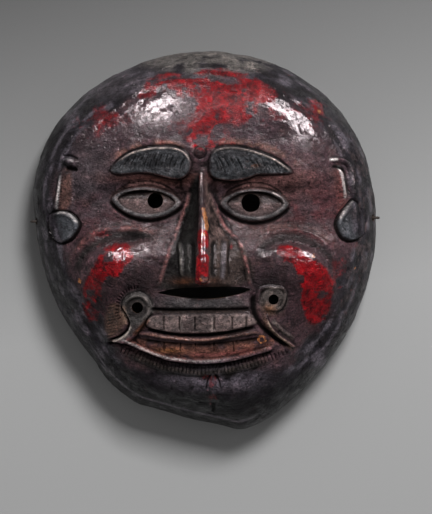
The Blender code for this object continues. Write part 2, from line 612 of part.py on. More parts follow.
def tie(name, side, y_mm, splay, finish):
    """A thong knotted inside the shell, passed out through its hole and left hanging down the wall."""
    mouth, out = tie_axis(side, y_mm)
    down = Vector((side * out.z, 0.0, -abs(out.x)))
    low = down * ((TIE_HOLE - THONG) / 2.0 - CLEARANCE)
    lift = THONG / 2.0 + 2.0 * CLEARANCE
    knot = TIE_KNOT / 2.0
    inside = WALL + 4.0 * CLEARANCE + knot
    fat = TIE_KNOT / THONG
    # Each station: how far out along the hole, how far down the wall, and its thickness as a share of THONG
    stations = [(-inside - knot, 0.0, 0.2 * fat), (-inside - knot * 0.8, 0.0, 0.62 * fat),
                (-inside - knot * 0.3, 0.0, 0.95 * fat), (-inside + knot * 0.3, 0.0, 0.95 * fat),
                (-inside + knot * 0.8, 0.0, 0.62 * fat), (-inside + knot, 0.0, 1.0), (-WALL * 0.5, 0.0, 1.0),
                (lift * 0.1, 0.0, 1.0), (lift * 0.7, 0.25 * THONG, 1.0)]
    for share in (0.0, 0.2, 0.4, 0.6, 0.8, 1.0):
        stations.append((lift + splay * share * share, 0.7 * THONG + TIE_TAIL * share,
                         1.0 - 0.25 * share * share))
    curve = bpy.data.curves.new(name, "CURVE")
    curve.dimensions = "3D"
    curve.bevel_depth = THONG / 2.0
    curve.bevel_resolution = 2
    curve.use_fill_caps = True
    spline = curve.splines.new("POLY")
    spline.points.add(len(stations) - 1)
    for point, (along, drop, thickness) in zip(spline.points, stations):
        point.co = (*(mouth + out * along + low + down * drop), 1.0)
        point.radius = thickness
    thong = bpy.data.objects.new(name, curve)
    bpy.context.collection.objects.link(thong)
    curve.materials.append(finish)
    return thong


for old in list(bpy.data.objects):
    bpy.data.objects.remove(old, do_unlink=True)

mask = bpy.data.objects.new("mask", shell_mesh())
bpy.context.collection.objects.link(mask)
mask.data.materials.append(material("aged lacquer", (0.075, 0.045, 0.045), 0.42))

thinning = mask.modifiers.new("thin", "DECIMATE")
thinning.ratio = FINISHED_TRIANGLES / (2.0 * FRONT_STEPS ** 2 + 2.0 * HOLLOW_STEPS ** 2)

cut(mask, drill("left pupil", (-32.3, 26.0), LEFT_PUPIL))
cut(mask, drill("right pupil", (30.9, 24.6), RIGHT_PUPIL))
cut(mask, drill("left mouth corner", (-43.9, -44.6), LEFT_CORNER_HOLE))
cut(mask, drill("right mouth corner", (45.8, -39.3), RIGHT_CORNER_HOLE))
cut(mask, slit_cutter())
cut(mask, tie_hole("right tie hole", 1, 15.3))
cut(mask, tie_hole("left tie hole", -1, 12.8))

leather = material("old leather", (0.05, 0.035, 0.028), 0.8)
tie("tie_right", 1, 15.3, 0.0, leather)
tie("tie_left", -1, 12.8, 0.0004, leather)
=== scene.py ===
"""Looks of a carved wooden demon mask, lying face up on a pale floor under soft studio lamps."""

import math

import bpy
import numpy as np
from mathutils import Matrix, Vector


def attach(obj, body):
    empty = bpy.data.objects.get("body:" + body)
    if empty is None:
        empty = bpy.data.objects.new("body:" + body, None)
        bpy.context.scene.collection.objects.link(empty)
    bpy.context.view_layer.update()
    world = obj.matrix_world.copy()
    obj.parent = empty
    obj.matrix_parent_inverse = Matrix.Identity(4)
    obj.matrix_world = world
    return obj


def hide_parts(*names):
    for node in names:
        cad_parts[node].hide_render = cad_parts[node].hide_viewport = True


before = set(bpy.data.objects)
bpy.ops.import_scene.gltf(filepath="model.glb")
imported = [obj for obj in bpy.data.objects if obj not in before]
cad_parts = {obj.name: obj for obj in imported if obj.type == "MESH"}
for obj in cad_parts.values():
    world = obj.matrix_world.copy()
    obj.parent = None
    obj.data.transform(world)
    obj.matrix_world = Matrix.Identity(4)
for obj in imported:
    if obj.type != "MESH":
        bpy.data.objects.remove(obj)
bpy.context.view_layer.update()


# The camera looks straight down on the lying mask from well above, with a long lens.
# The mask sits a little up and to the left of the picture's middle.

CAMERA_HEIGHT = 1.70
PICTURE_LEVEL = 0.02
PICTURE_HEIGHT = 0.3516
SENSOR_WIDTH = 36.0
AIM = (0.0079, -0.0113)

bpy.ops.object.camera_add(location=(AIM[0], AIM[1], CAMERA_HEIGHT), rotation=(0.0, 0.0, 0.0))
camera = bpy.context.object
camera.name = "camera"
camera.data.sensor_width = SENSOR_WIDTH
camera.data.lens = SENSOR_WIDTH * (CAMERA_HEIGHT - PICTURE_LEVEL) / PICTURE_HEIGHT
camera.data.clip_end = 20.0
bpy.context.scene.camera = camera
bpy.context.scene.view_settings.view_transform = "Standard"


# Pale floor: one wide smooth sheet of studio paper, plain and matt, whose colour is painted darker
# towards the top left, away from the lamps: a painted fall-off of the light.

def nodes_of(finish):
    """A finish's node tree and its shader."""
    finish.use_nodes = True
    return finish.node_tree, finish.node_tree.nodes["Principled BSDF"]


def ranged(tree, value, low, high, to_low=0.0, to_high=1.0):
    """Stretches a value from one range to another."""
    node = tree.nodes.new("ShaderNodeMapRange")
    node.inputs["From Min"].default_value = low
    node.inputs["From Max"].default_value = high
    node.inputs["To Min"].default_value = to_low
    node.inputs["To Max"].default_value = to_high
    tree.links.new(value, node.inputs["Value"])
    return node.outputs["Result"]


FLOOR_SIZE = 7.0
FLOOR_LEVEL = -0.0004
FALL_TURN = math.radians(80.0)
FALL_FROM, FALL_TO = -0.22, 0.05
DARK_END, PALE_END = 0.10, 0.42

bpy.ops.mesh.primitive_plane_add(size=FLOOR_SIZE, location=(0.0, 0.0, FLOOR_LEVEL))
floor = bpy.context.object
floor.name = "floor"
paper = bpy.data.materials.new("studio paper")
tree, shader = nodes_of(paper)
shader.inputs["Roughness"].default_value = 0.95
shader.inputs["Specular IOR Level"].default_value = 0.1
turned = tree.nodes.new("ShaderNodeMapping")
turned.inputs["Rotation"].default_value = (0.0, 0.0, FALL_TURN)
tree.links.new(tree.nodes.new("ShaderNodeTexCoord").outputs["Object"], turned.inputs["Vector"])
fall = tree.nodes.new("ShaderNodeSeparateXYZ")
tree.links.new(turned.outputs["Vector"], fall.inputs["Vector"])
# Painted light: the paper's colour grows paler along this turned axis, standing for the lamps' fall-off.
painted_falloff = ranged(tree, fall.outputs["X"], FALL_FROM, FALL_TO, DARK_END, PALE_END)
tree.links.new(painted_falloff, shader.inputs["Base Color"])
floor.data.materials.append(paper)


# Soft studio lamps: a broad one at the right for the form, which gives no glare, and three long
# narrow ones beyond the crown, whose glare runs along the forehead, the cheeks and the nose.

MASK_MIDDLE = Vector((0.0, 0.0, 0.06))


def lamp(name, place, size, power, colour=(1.0, 1.0, 1.0)):
    """A soft rectangular lamp that faces the mask."""
    light = bpy.data.lights.new(name, "AREA")
    light.shape = "RECTANGLE"
    light.size, light.size_y = size
    light.energy = power
    light.color = colour
    made = bpy.data.objects.new(name, light)
    made.location = place
    made.rotation_euler = (MASK_MIDDLE - Vector(place)).to_track_quat("-Z", "Y").to_euler()
    bpy.context.collection.objects.link(made)
    return made


lamp("form lamp", (0.36, 0.80, 1.46), (0.44, 0.44), 25.0).visible_glossy = False
for name, place, width, power in (("left strip", (-0.44, 1.36, 1.02), 0.16, 26.0),
                                  ("right strip", (1.00, 1.18, 0.76), 0.20, 21.0),
                                  ("upper strip", (0.10, 1.18, 1.28), 0.16, 2.5)):
    lamp(name, place, (0.80, width), power, (1.0, 0.88, 0.91)).visible_diffuse = False

world = bpy.data.worlds.new("room")
world.use_nodes = True
background = world.node_tree.nodes["Background"]
background.inputs["Color"].default_value = (1.0, 1.0, 1.0, 1.0)
background.inputs["Strength"].default_value = 0.22
bpy.context.scene.world = world
world.cycles_visibility.glossy = False


# The mask: one block of wood, carved as a face in front and hollowed behind to an even wall.
# The carver's plan is in millimetres, seen from the front, and is laid out at the mask's real size.

MASK_WIDTH = 0.236
MASK_HEIGHT = 0.260
MASK_DEPTH = 0.112
RIM_DEPTH = 0.012
WALL = 0.010

PLAN_WIDTH = 236.0
PLAN_HEIGHT = 260.0
PLAN_DEPTH = 108.5

FRONT_STEPS = 540
HOLLOW_STEPS = 180
FINISHED_TRIANGLES = 186000

# Radius of the back rim in plan millimetres, by angle from the viewer's right
OUTLINE = ((0, 117.6), (15, 120.6), (30, 125.4), (45, 128.8), (60, 130.1), (90, 130.0), (120, 129.3),
           (135, 129.6), (150, 127.6), (165, 121.7), (180, 114.7), (195, 111.2), (210, 110.0), (225, 111.6),
           (236, 116.7), (246, 120.5), (256, 120.5), (266, 123.0), (275, 127.4), (281, 132.2), (287, 131.0),
           (294, 127.5), (303, 123.0), (315, 119.0), (330, 116.6), (345, 115.9))

# Metres per plan millimetre along each axis, and the section of the dome in plan millimetres
FULL = np.array((MASK_WIDTH / PLAN_WIDTH, MASK_HEIGHT / PLAN_HEIGHT, MASK_DEPTH / PLAN_DEPTH))
PLUMB = RIM_DEPTH / FULL[2]
DOME = 71.0
SQUARENESS = 2.6


def smooth(share):
    """Eases a share from 0 to 1 with level ends."""
    held = np.clip(share, 0.0, 1.0)
    return held * held * (3.0 - 2.0 * held)


def hump(share):
    """A round hump, 1 at its middle and 0 where the share reaches 1."""
    return 0.5 + 0.5 * np.cos(math.pi * np.clip(np.abs(share), 0.0, 1.0))


def mound(x, y, middle, reach, height, turn=0.0):
    """A soft oval mound on the plan."""
    across = (x - middle[0]) * math.cos(turn) + (y - middle[1]) * math.sin(turn)
    along = (y - middle[1]) * math.cos(turn) - (x - middle[0]) * math.sin(turn)
    return height * np.exp(-(across / reach[0]) ** 2 - (along / reach[1]) ** 2)


def eased(y, stations, values):
    """Values between stations, rounded at each station."""
    fine = np.linspace(stations[0], stations[-1], 121)
    curve = np.interp(fine, stations, values)
    for _ in range(6):
        curve[1:-1] = (curve[:-2] + 2.0 * curve[1:-1] + curve[2:]) / 4.0
    return np.interp(y, fine, curve)


def drawn_curve(points, closed=False, steps=7):
    """A smooth curve through points on the plan."""
    knots = np.array(points, float)
    if closed:
        knots = np.vstack((knots[-1:], knots, knots[:2]))
    else:
        knots = np.vstack((2.0 * knots[:1] - knots[1:2], knots, 2.0 * knots[-1:] - knots[-2:-1]))
    share = np.linspace(0.0, 1.0, steps, endpoint=False)[:, None]
    pieces = []
    for a, b, c, d in zip(knots[:-3], knots[1:-2], knots[2:-1], knots[3:]):
        pieces.append(0.5 * (2.0 * b + (c - a) * share + (2.0 * a - 5.0 * b + 4.0 * c - d) * share ** 2
                             + (3.0 * b - a - 3.0 * c + d) * share ** 3))
    pieces.append(knots[-2][None, :])
    return np.vstack(pieces)


def span(x, y, line):
    """Distance of each place on the plan from a line, and how far along the line it is."""
    starts = line[:-1]
    runs = line[1:] - starts
    lengths = np.maximum(np.hypot(runs[:, 0], runs[:, 1]), 1e-9)
    before = np.concatenate(([0.0], np.cumsum(lengths)))[:-1]
    nearest = np.full(x.shape, 1e9)
    along = np.zeros(x.shape)
    for start, run, length, reached in zip(starts, runs, lengths, before):
        share = ((x - start[0]) * run[0] + (y - start[1]) * run[1]) / length ** 2
        share = np.clip(share, 0.0, 1.0)
        away = np.hypot(x - start[0] - share * run[0], y - start[1] - share * run[1])
        closer = away < nearest
        nearest = np.where(closer, away, nearest)
        along = np.where(closer, reached + share * length, along)
    return nearest, along / (before[-1] + lengths[-1])


def around(x, y, line, reach):
    """The places close enough to a line for its carving to touch them."""
    low = line.min(axis=0) - reach
    high = line.max(axis=0) + reach
    return (x > low[0]) & (x < high[0]) & (y > low[1]) & (y < high[1])


def stroke(x, y, points, reach, height, taper=0.15, closed=False):
    """A ridge along a drawn curve, or a gouge where its height is below 0."""
    line = drawn_curve(points, closed)
    touched = around(x, y, line, reach)
    away, along = span(x[touched], y[touched], line)
    ends = 1.0
    if taper > 0.0:
        ends = smooth(along / taper) * smooth((1.0 - along) / taper)
    carved = np.zeros(x.shape)
    carved[touched] = height * hump(away / reach) * ends
    return carved


def depth_inside(x, y, loop):
    """Distance inside a closed loop, and below 0 outside it."""
    away, _ = span(x, y, loop)
    inside = np.zeros(x.shape, bool)
    for (x0, y0), (x1, y1) in zip(loop[:-1], loop[1:]):
        if y0 == y1:
            continue
        crosses = ((y0 > y) != (y1 > y)) & (x < (x1 - x0) * (y - y0) / (y1 - y0) + x0)
        inside ^= crosses
    return np.where(inside, away, -away)


def pad(x, y, points, height, edge, crown=0.0):
    """A raised pad inside a drawn loop, with a sloped edge and a crowned top."""
    loop = drawn_curve(points, closed=True)
    touched = around(x, y, loop, edge)
    deep = depth_inside(x[touched], y[touched], loop)
    raised = np.zeros(x.shape)
    raised[touched] = height * smooth(0.5 + deep / edge) + crown * smooth(deep / 9.0)
    return raised


def almond(middle, half_length, above, below, turn):
    """Outline of an eye: two arcs that meet in pointed corners."""
    points = []
    for step in range(24):
        angle = 2.0 * math.pi * step / 24
        across = half_length * math.cos(angle)
        rise = math.copysign(abs(math.sin(angle)) ** 1.35, math.sin(angle))
        up = rise * (above if rise > 0.0 else below)
        points.append((middle[0] + across * math.cos(turn) - up * math.sin(turn),
                       middle[1] + across * math.sin(turn) + up * math.cos(turn)))
    return points


def big_forms(x, y):
    """Heights of the large forms above the plain dome."""
    side = np.abs(x)
    # Forehead and the ledge that carries the brows
    height = mound(x, y, (0, 88), (78, 30), 3.5)
    height += mound(x, y, (0, 57), (62, 13), 3.0)
    # Sunk band of the eyes, falling in under the brows and easing out over the cheeks
    soft = 15.0 + 9.0 * smooth((side - 52.0) / 26.0)
    sunk = smooth((46.0 - y) / soft) * smooth((y + 14.0) / 30.0)
    sides = eased(side, (0, 9, 16, 56, 84, 106), (3.5, 5.5, 8.5, 7.5, 4.0, 0.0))
    height -= sides * sunk
    # Nose
    middle = -0.8
    rise = eased(y, (-38, -34, -31, -29, -20, -6, 10, 28, 41, 48), (0, 0, 14, 26, 25, 20, 16.0, 11.5, 4.0, 0))
    half = eased(y, (-34, -20, -6, 7, 20, 34, 48), (32.5, 28.5, 22.5, 17, 12.5, 9, 7))
    out = np.abs(x - middle) / half
    height += rise * (0.62 * smooth(1.0 - out) + 0.38 * np.exp(-(out / 0.27) ** 2))
    # Cheeks, muzzle, chin and the hollows beside the mouth
    for middle, reach in (((-59, -20), (26, 20)), ((65, -20), (26, 21))):
        height += mound(x, y, middle, reach, 9.0)
    height += 8.5 * smooth(1.35 - 1.1 * np.hypot((x + 1.0) / 50.0, (y + 60.0) / 29.0))
    height += mound(x, y, (4, -101), (30, 12), 5.0)
    height += mound(x, y, (-1, -40), (32, 9), 3.0)
    for middle in ((-72, -66), (74, -66)):
        height -= mound(x, y, middle, (16, 26), 3.0)
    return height


# Drawn outlines and lines of the face on the plan, which the carving and the paint both follow
LEFT_BROW = ((-61.5, 46), (-57, 51.8), (-48.6, 57.2), (-38.8, 60), (-28.9, 61), (-19.5, 60.5), (-12.4, 57.2),
             (-9, 51), (-10, 45), (-14.5, 40.8), (-23, 41), (-38.8, 44.4), (-56, 43.6))
RIGHT_BROW = ((3.8, 49), (5.2, 56.5), (9.2, 59.7), (16, 61), (24, 60.4), (32, 58.7), (40.2, 56), (48.2, 52.4),
              (58.2, 44.8), (45, 43.5), (35, 43.2), (27.5, 40.6), (18, 39.5), (8, 40.6), (4.4, 43.5))
EYES = (((-38.1, 26.0), 22.8, 8.8, 11.4, -0.06), ((33.6, 24.0), 22.3, 9.8, 11.0, -0.01))
LEFT_LOBE = ((-101.3, 17.7), (-93.2, 18.3), (-87.8, 15.7), (-83.9, 10.9), (-84.6, 7.4), (-89.1, 1.5),
             (-94.5, -1.2), (-98.6, 0.2), (-102.4, 7.6), (-103.1, 14.3))
RIGHT_LOBE = ((99.9, 25.8), (94.8, 21), (90.1, 15), (88.8, 9.6), (92.1, 2.9), (96.8, 0.2), (102.9, 1.5),
              (106.5, 5.5), (107, 12.3), (104.6, 19))
UPPER_TEETH = ((-36.5, -52), (-29, -49.6), (-3, -48.6), (24, -48.4), (31.8, -49), (35, -52.5), (34.2, -55.3),
               (14, -59.9), (-6, -61.2), (-22, -60.5), (-36.6, -57.2))
LOWER_LIP = ((-58, -64.5), (-50, -68), (-41, -72), (-32, -75.7), (-22, -78.4), (-3, -80.2), (17, -78.6),
             (37, -73.9), (49, -69.6))
LIP_EDGE = ((-45, -62.5), (-36, -62.2), (-25, -64.2), (-3, -65.8), (14, -64), (33, -61), (40, -62.5))
TEETH_GAPS = (-26.3, -15.8, -5.9, 6.6, 18.4, 27.6)
CHANNEL = ((32.4, -34), (32.8, -42), (34.4, -50), (38.6, -57), (44.6, -63), (51.5, -68), (58, -72.4))
NOSE_WING = ((-16.6, 0), (-15.4, -10), (-14.6, -26))
LEFT_CREASE = ((-9.2, 34), (-11.8, 23), (-17.1, 8), (-22.4, -6.7), (-27, -21), (-30.6, -32))
RIGHT_CREASE = ((3.6, 33), (5.9, 26), (9.2, 18.3), (13.2, 9.7), (17.8, 4.5), (23.7, -2.1), (27.6, -14.6),
                (29.6, -26), (32.5, -34))
LEFT_ARC = ((-87, -28), (-84, -16.4), (-78.5, -9), (-69.5, -3.6), (-60, -0.4), (-49, 1.6), (-39, 1.6),
            (-30.5, -1))
RIGHT_ARC = ((34.5, -16), (37.9, -8), (43.8, -2.4), (52.5, 0.2), (62, 0.2), (69.5, -2.6), (77.5, -7.2),
             (85, -14.4), (90, -24))
BOSS = (-2.6, 57.6)
LEFT_SCROLL = (-44.2, -44.8)


def away_from(x, y, middle):
    """Distance of each place on the plan from a point."""
    return np.hypot(x - middle[0], y - middle[1])


def moved(points, up, across=0.0):
    """A drawn line shifted on the plan."""
    return [(px + across, py + up) for px, py in points]


def brow_carving(x, y):
    """Raised brow slabs with hair strokes and a thin upper rim, a trough over each and the boss between."""
    height = pad(x, y, LEFT_BROW, 2.4, 1.8, 0.3) + pad(x, y, RIGHT_BROW, 2.4, 1.8, 0.3)
    for count in range(10):
        share = (count + 0.5) / 10
        foot = -55 + 41 * share
        height += stroke(x, y, ((foot, 47.5), (foot + 2.5, 52), (foot + 5.5, 56)), 1.3, -0.8, 0.3)
        foot = 12 + 40 * share
        height += stroke(x, y, ((foot, 46), (foot - 3, 51), (foot - 5.5, 55.5)), 1.3, -0.8, 0.3)
    for left_edge, right_edge, up, reach, rise in ((LEFT_BROW[1:8], RIGHT_BROW[1:9], -1.0, 1.3, 1.0),
                                                   (LEFT_BROW[0:7], RIGHT_BROW[1:9], 1.6, 1.7, -0.9)):
        height += (stroke(x, y, moved(left_edge, up), reach, rise, 0.1)
                   + stroke(x, y, moved(right_edge, up), reach, rise, 0.1))
    boss = away_from(x, y, BOSS)
    height += (1.4 * smooth((3.6 - boss) / 1.6) - 0.5 * hump((boss - 4.0) / 1.0)
               + 0.4 * hump((boss - 5.8) / 1.4))
    return height


def eye_carving(x, y):
    """Eyes that slant back under their upper lids, with a rim all round and a deep line under each."""
    height = np.zeros(x.shape)
    for middle, half, above, below, turn in EYES:
        up = ((y - middle[1]) * math.cos(turn) - (x - middle[0]) * math.sin(turn)) / above
        height += pad(x, y, almond(middle, half, above, below, turn), 1.3, 1.6, 2.0)
        ball = pad(x, y, almond(middle, half - 3.6, above - 1.7, below - 2.1, turn), 1.0, 1.2)
        height -= ball * (1.7 + 1.3 * np.clip(up, -1.2, 1.0))
        rim = almond(middle, half - 1.6, above - 1.0, below - 1.0, turn)
        height += stroke(x, y, rim[1:12], 1.4, 0.9, 0.12)
        height += stroke(x, y, rim[11:] + rim[:2], 1.6, 0.4, 0.08)
        under = almond(middle, half + 1.8, above + 2.0, below + 1.7, turn)
        height += stroke(x, y, under[12:] + under[:1], 1.9, -1.9, 0.12)
        crease = almond(middle, half + 1.0, above + 3.6, below, turn)
        height += stroke(x, y, crease[1:12], 1.3, -0.4, 0.2)
    return height


def nose_carving(x, y):
    """Flat-topped ridge of the nose, the wings beside it and the creases down its flanks."""
    ridge = ((-0.6, 42), (-0.3, 24), (1.8, 12), (2.9, -6), (3.0, -20), (2.2, -27), (-4.4, -27), (-5.2, -20),
             (-4.7, -8), (-3.6, 7), (-3.1, 24), (-2.9, 42))
    height = pad(x, y, ridge, 1.5, 1.4)
    height += stroke(x, y, NOSE_WING, 2.0, 1.7, 0.2)
    height += stroke(x, y, ((15.0, 1.5), (13.8, -10), (14.0, -25.5)), 2.8, 2.2, 0.2)
    height += stroke(x, y, ((-9.4, 2), (-8.4, -12), (-7.8, -26)), 3.4, -1.7, 0.2)
    height += stroke(x, y, ((7.4, 2), (7.2, -12), (7.4, -26)), 3.4, -1.7, 0.2)
    height += stroke(x, y, LEFT_CREASE, 2.8, 0.8, 0.1)
    height += stroke(x, y, RIGHT_CREASE, 2.3, 0.9, 0.1)
    return height


def cheek_carving(x, y):
    """The wide arc cut over each cheek and the soft ridge that rolls over it."""
    height = stroke(x, y, LEFT_ARC, 6.0, -1.7, 0.25)
    height += stroke(x, y, ((-89, -14), (-81, -1), (-68, 6.0), (-50, 7.6), (-34, 5)), 2.8, 0.8, 0.2)
    height += stroke(x, y, RIGHT_ARC, 6.0, -1.7, 0.25)
    height += stroke(x, y, ((35, 1.5), (46, 5.8), (60, 6.8), (74, 3.2), (86, -6)), 2.8, 0.8, 0.2)
    return height


def mouth_carving(x, y):
    """Two rows of teeth between the lips, with a scroll drilled through at each corner."""
    height = stroke(x, y, ((-37, -45.6), (-20, -46.2), (0, -46), (18, -45.5), (33, -44.9)), 2.0, -2.8, 0.06)
    height += pad(x, y, UPPER_TEETH, 2.0, 1.6, 0.8)
    height += stroke(x, y, ((-39, -58.6), (-22, -62.2), (-5, -63), (14, -61.6), (37, -57)), 1.8, -1.8, 0.1)
    height += stroke(x, y, LIP_EDGE, 2.0, 2.0, 0.1)
    height += stroke(x, y, ((-43, -66), (-24, -68.5), (-3, -69.6), (16, -68), (40, -65)), 2.6, -1.4, 0.1)
    for place in TEETH_GAPS:
        height += stroke(x, y, ((place, -49.5), (place, -59.5)), 1.1, -1.1, 0.15)
    for place in (-27, -16, -6, 6.5, 19.5):
        height += stroke(x, y, ((place, -67.5), (place + 0.3, -74.5)), 1.1, -0.9, 0.2)
    height += stroke(x, y, LOWER_LIP, 2.4, 2.4, 0.06)
    under = moved(LOWER_LIP, -3.6)
    height += stroke(x, y, under, 3.0, -3.9, 0.1)
    height += stroke(x, y, moved(under, -4.4), 2.6, 1.2, 0.15)
    height += left_corner_carving(x, y)
    height += right_corner_carving(x, y)
    return height


def left_corner_carving(x, y):
    """Scroll at the viewer's left: a drilled boss that runs down into a tail, and the fold beside it."""
    boss = away_from(x, y, LEFT_SCROLL)
    tail = ((-53, -45), (-50.4, -51), (-49.4, -56), (-51.6, -61), (-57, -65.4), (-62, -67), (-54, -68),
            (-47, -65), (-42.6, -58.6), (-38, -51.6), (-36, -45))
    height = 2.6 * np.maximum(smooth((10.6 - boss) / 2.2), pad(x, y, tail, 1.0, 2.2))
    height += 1.3 * hump((boss - 8.8) / 2.2) * smooth((y + 45.0) / 5.0)
    height -= 0.7 * smooth((8.0 - boss) / 2.0)
    fold_edge = ((-55, -43), (-51.6, -49), (-49.4, -54.6), (-51.4, -60), (-56.4, -64.4), (-64, -67.2))
    height += stroke(x, y, moved(fold_edge, 2.0, -6.5), 8.5, 2.6, 0.3)
    height += stroke(x, y, fold_edge, 1.7, -3.4, 0.1)
    height += stroke(x, y, ((-66, -69.4), (-58, -68.8), (-51, -70.5), (-44, -74)), 2.0, -2.6, 0.15)
    return height


def right_corner_carving(x, y):
    """Scroll at the viewer's right: a squared ring, the channel that runs down from it and two edges."""
    boss = away_from(x, y, (45.8, -39.2))
    height = 1.5 * smooth((8.6 - boss) / 2.2)
    ring = ((36.4, -42), (35.4, -36.4), (38.6, -31.8), (50, -31.4), (53.4, -34.6), (52.6, -40.2),
            (50.6, -44.6), (46, -47.6))
    height += stroke(x, y, ring, 1.7, 1.5, 0.1)
    height += stroke(x, y, CHANNEL, 3.3, -3.9, 0.12)
    height += stroke(x, y, ((39.6, -48), (42.6, -56), (48.6, -63), (56, -68.4), (62, -72.2)), 1.7, 2.2, 0.12)
    height += stroke(x, y, ((45.4, -53), (52.6, -60), (61, -66.4)), 1.7, 1.3, 0.2)
    return height


def chin_carving(x, y):
    """The wedge-shaped mark down the middle of the chin."""
    height = stroke(x, y, ((5.9, -88), (5.6, -96), (6, -105)), 2.4, 1.2, 0.2)
    height += stroke(x, y, ((5.6, -88), (2, -94), (1, -101)), 1.6, -1.2, 0.25)
    height += stroke(x, y, ((6.4, -88), (10, -94), (11.4, -101)), 1.6, -1.2, 0.25)
    height += stroke(x, y, ((6, -108), (6, -117)), 2.2, -1.6, 0.3)
    return height


def ear_carving(x, y):
    """Ear ornaments on the temples: a hook, a long thin ridge and a shield-shaped lobe."""
    height = stroke(x, y, ((-95, 53.6), (-89.5, 51.9), (-84, 50.6)), 2.9, 3.2, 0.25)
    height += stroke(x, y, ((-96, 56.6), (-90, 56.6), (-83.4, 53.8)), 1.5, -1.3, 0.2)
    height += stroke(x, y, ((-93.5, 48), (-84, 46.6)), 2.3, -2.4, 0.2)
    height += stroke(x, y, ((-95.2, 46), (-96, 40), (-97.2, 33), (-99.2, 25), (-100.8, 19.4)), 1.6, 1.9, 0.08)
    height += pad(x, y, ((-96, 45), (-88.6, 44), (-86.6, 30), (-89, 20), (-99, 20), (-97.4, 32)), 0.9, 3.0)
    height += stroke(x, y, ((83.4, 53.4), (89.5, 53.6), (94.8, 52.4), (98.0, 48.6), (99.2, 40.6),
                            (100.2, 28)), 2.1, 2.6, 0.08)
    height += stroke(x, y, ((84, 49), (90, 48.8), (94.4, 46), (95.8, 38), (97, 28)), 1.8, -1.8, 0.2)
    for lobe in (LEFT_LOBE, RIGHT_LOBE):
        height += pad(x, y, lobe, 2.4, 1.3)
        height += stroke(x, y, grown(lobe, 1.4), 1.5, -1.4, 0.0, closed=True)
    return height + (stroke(x, y, grown(LEFT_LOBE, -1.1)[0:5], 1.2, 0.9, 0.1)
                     + stroke(x, y, grown(RIGHT_LOBE, -1.1)[0:5], 1.2, 0.9, 0.1))


def grown(points, out):
    """A loop moved outwards from its middle by a distance."""
    loop = np.array(points, float)
    away = loop - loop.mean(axis=0)
    return loop + away * (out / np.hypot(away[:, 0], away[:, 1]))[:, None]


def carving(x, y):
    """All the carving that is cut square to the surface."""
    height = brow_carving(x, y) + eye_carving(x, y) + nose_carving(x, y) + cheek_carving(x, y)
    height += mouth_carving(x, y) + chin_carving(x, y) + ear_carving(x, y)
    return height


def hand_work(x, y):
    """Slow unevenness of a surface worked by hand with an adze."""
    waves = ((0.071, 0.043, 0.6), (-0.052, 0.088, 2.1), (0.113, -0.067, 4.4), (0.031, 0.127, 1.3),
             (-0.129, -0.034, 5.2))
    height = np.zeros(x.shape)
    for along_x, along_y, start in waves:
        height += 0.32 * np.sin(along_x * x + along_y * y + start)
    return height


def grain_noise(x, y, z, cell, seed):
    """Smooth lumps of one size, between -1 and 1, the same each run."""
    chance = np.random.default_rng(seed)
    lattice = chance.uniform(-1.0, 1.0, (32, 32, 32))
    places = []
    for axis in (x, y, z):
        scaled = axis / cell + 1000.0
        whole = np.floor(scaled).astype(int)
        part = scaled - whole
        places.append((whole % 32, (whole + 1) % 32, part * part * (3.0 - 2.0 * part)))
    (x0, x1, fx), (y0, y1, fy), (z0, z1, fz) = places
    low = (lattice[x0, y0, z0] * (1 - fx) + lattice[x1, y0, z0] * fx) * (1 - fy)
    low += (lattice[x0, y1, z0] * (1 - fx) + lattice[x1, y1, z0] * fx) * fy
    high = (lattice[x0, y0, z1] * (1 - fx) + lattice[x1, y0, z1] * fx) * (1 - fy)
    high += (lattice[x0, y1, z1] * (1 - fx) + lattice[x1, y1, z1] * fx) * fy
    return low * (1 - fz) + high * fz


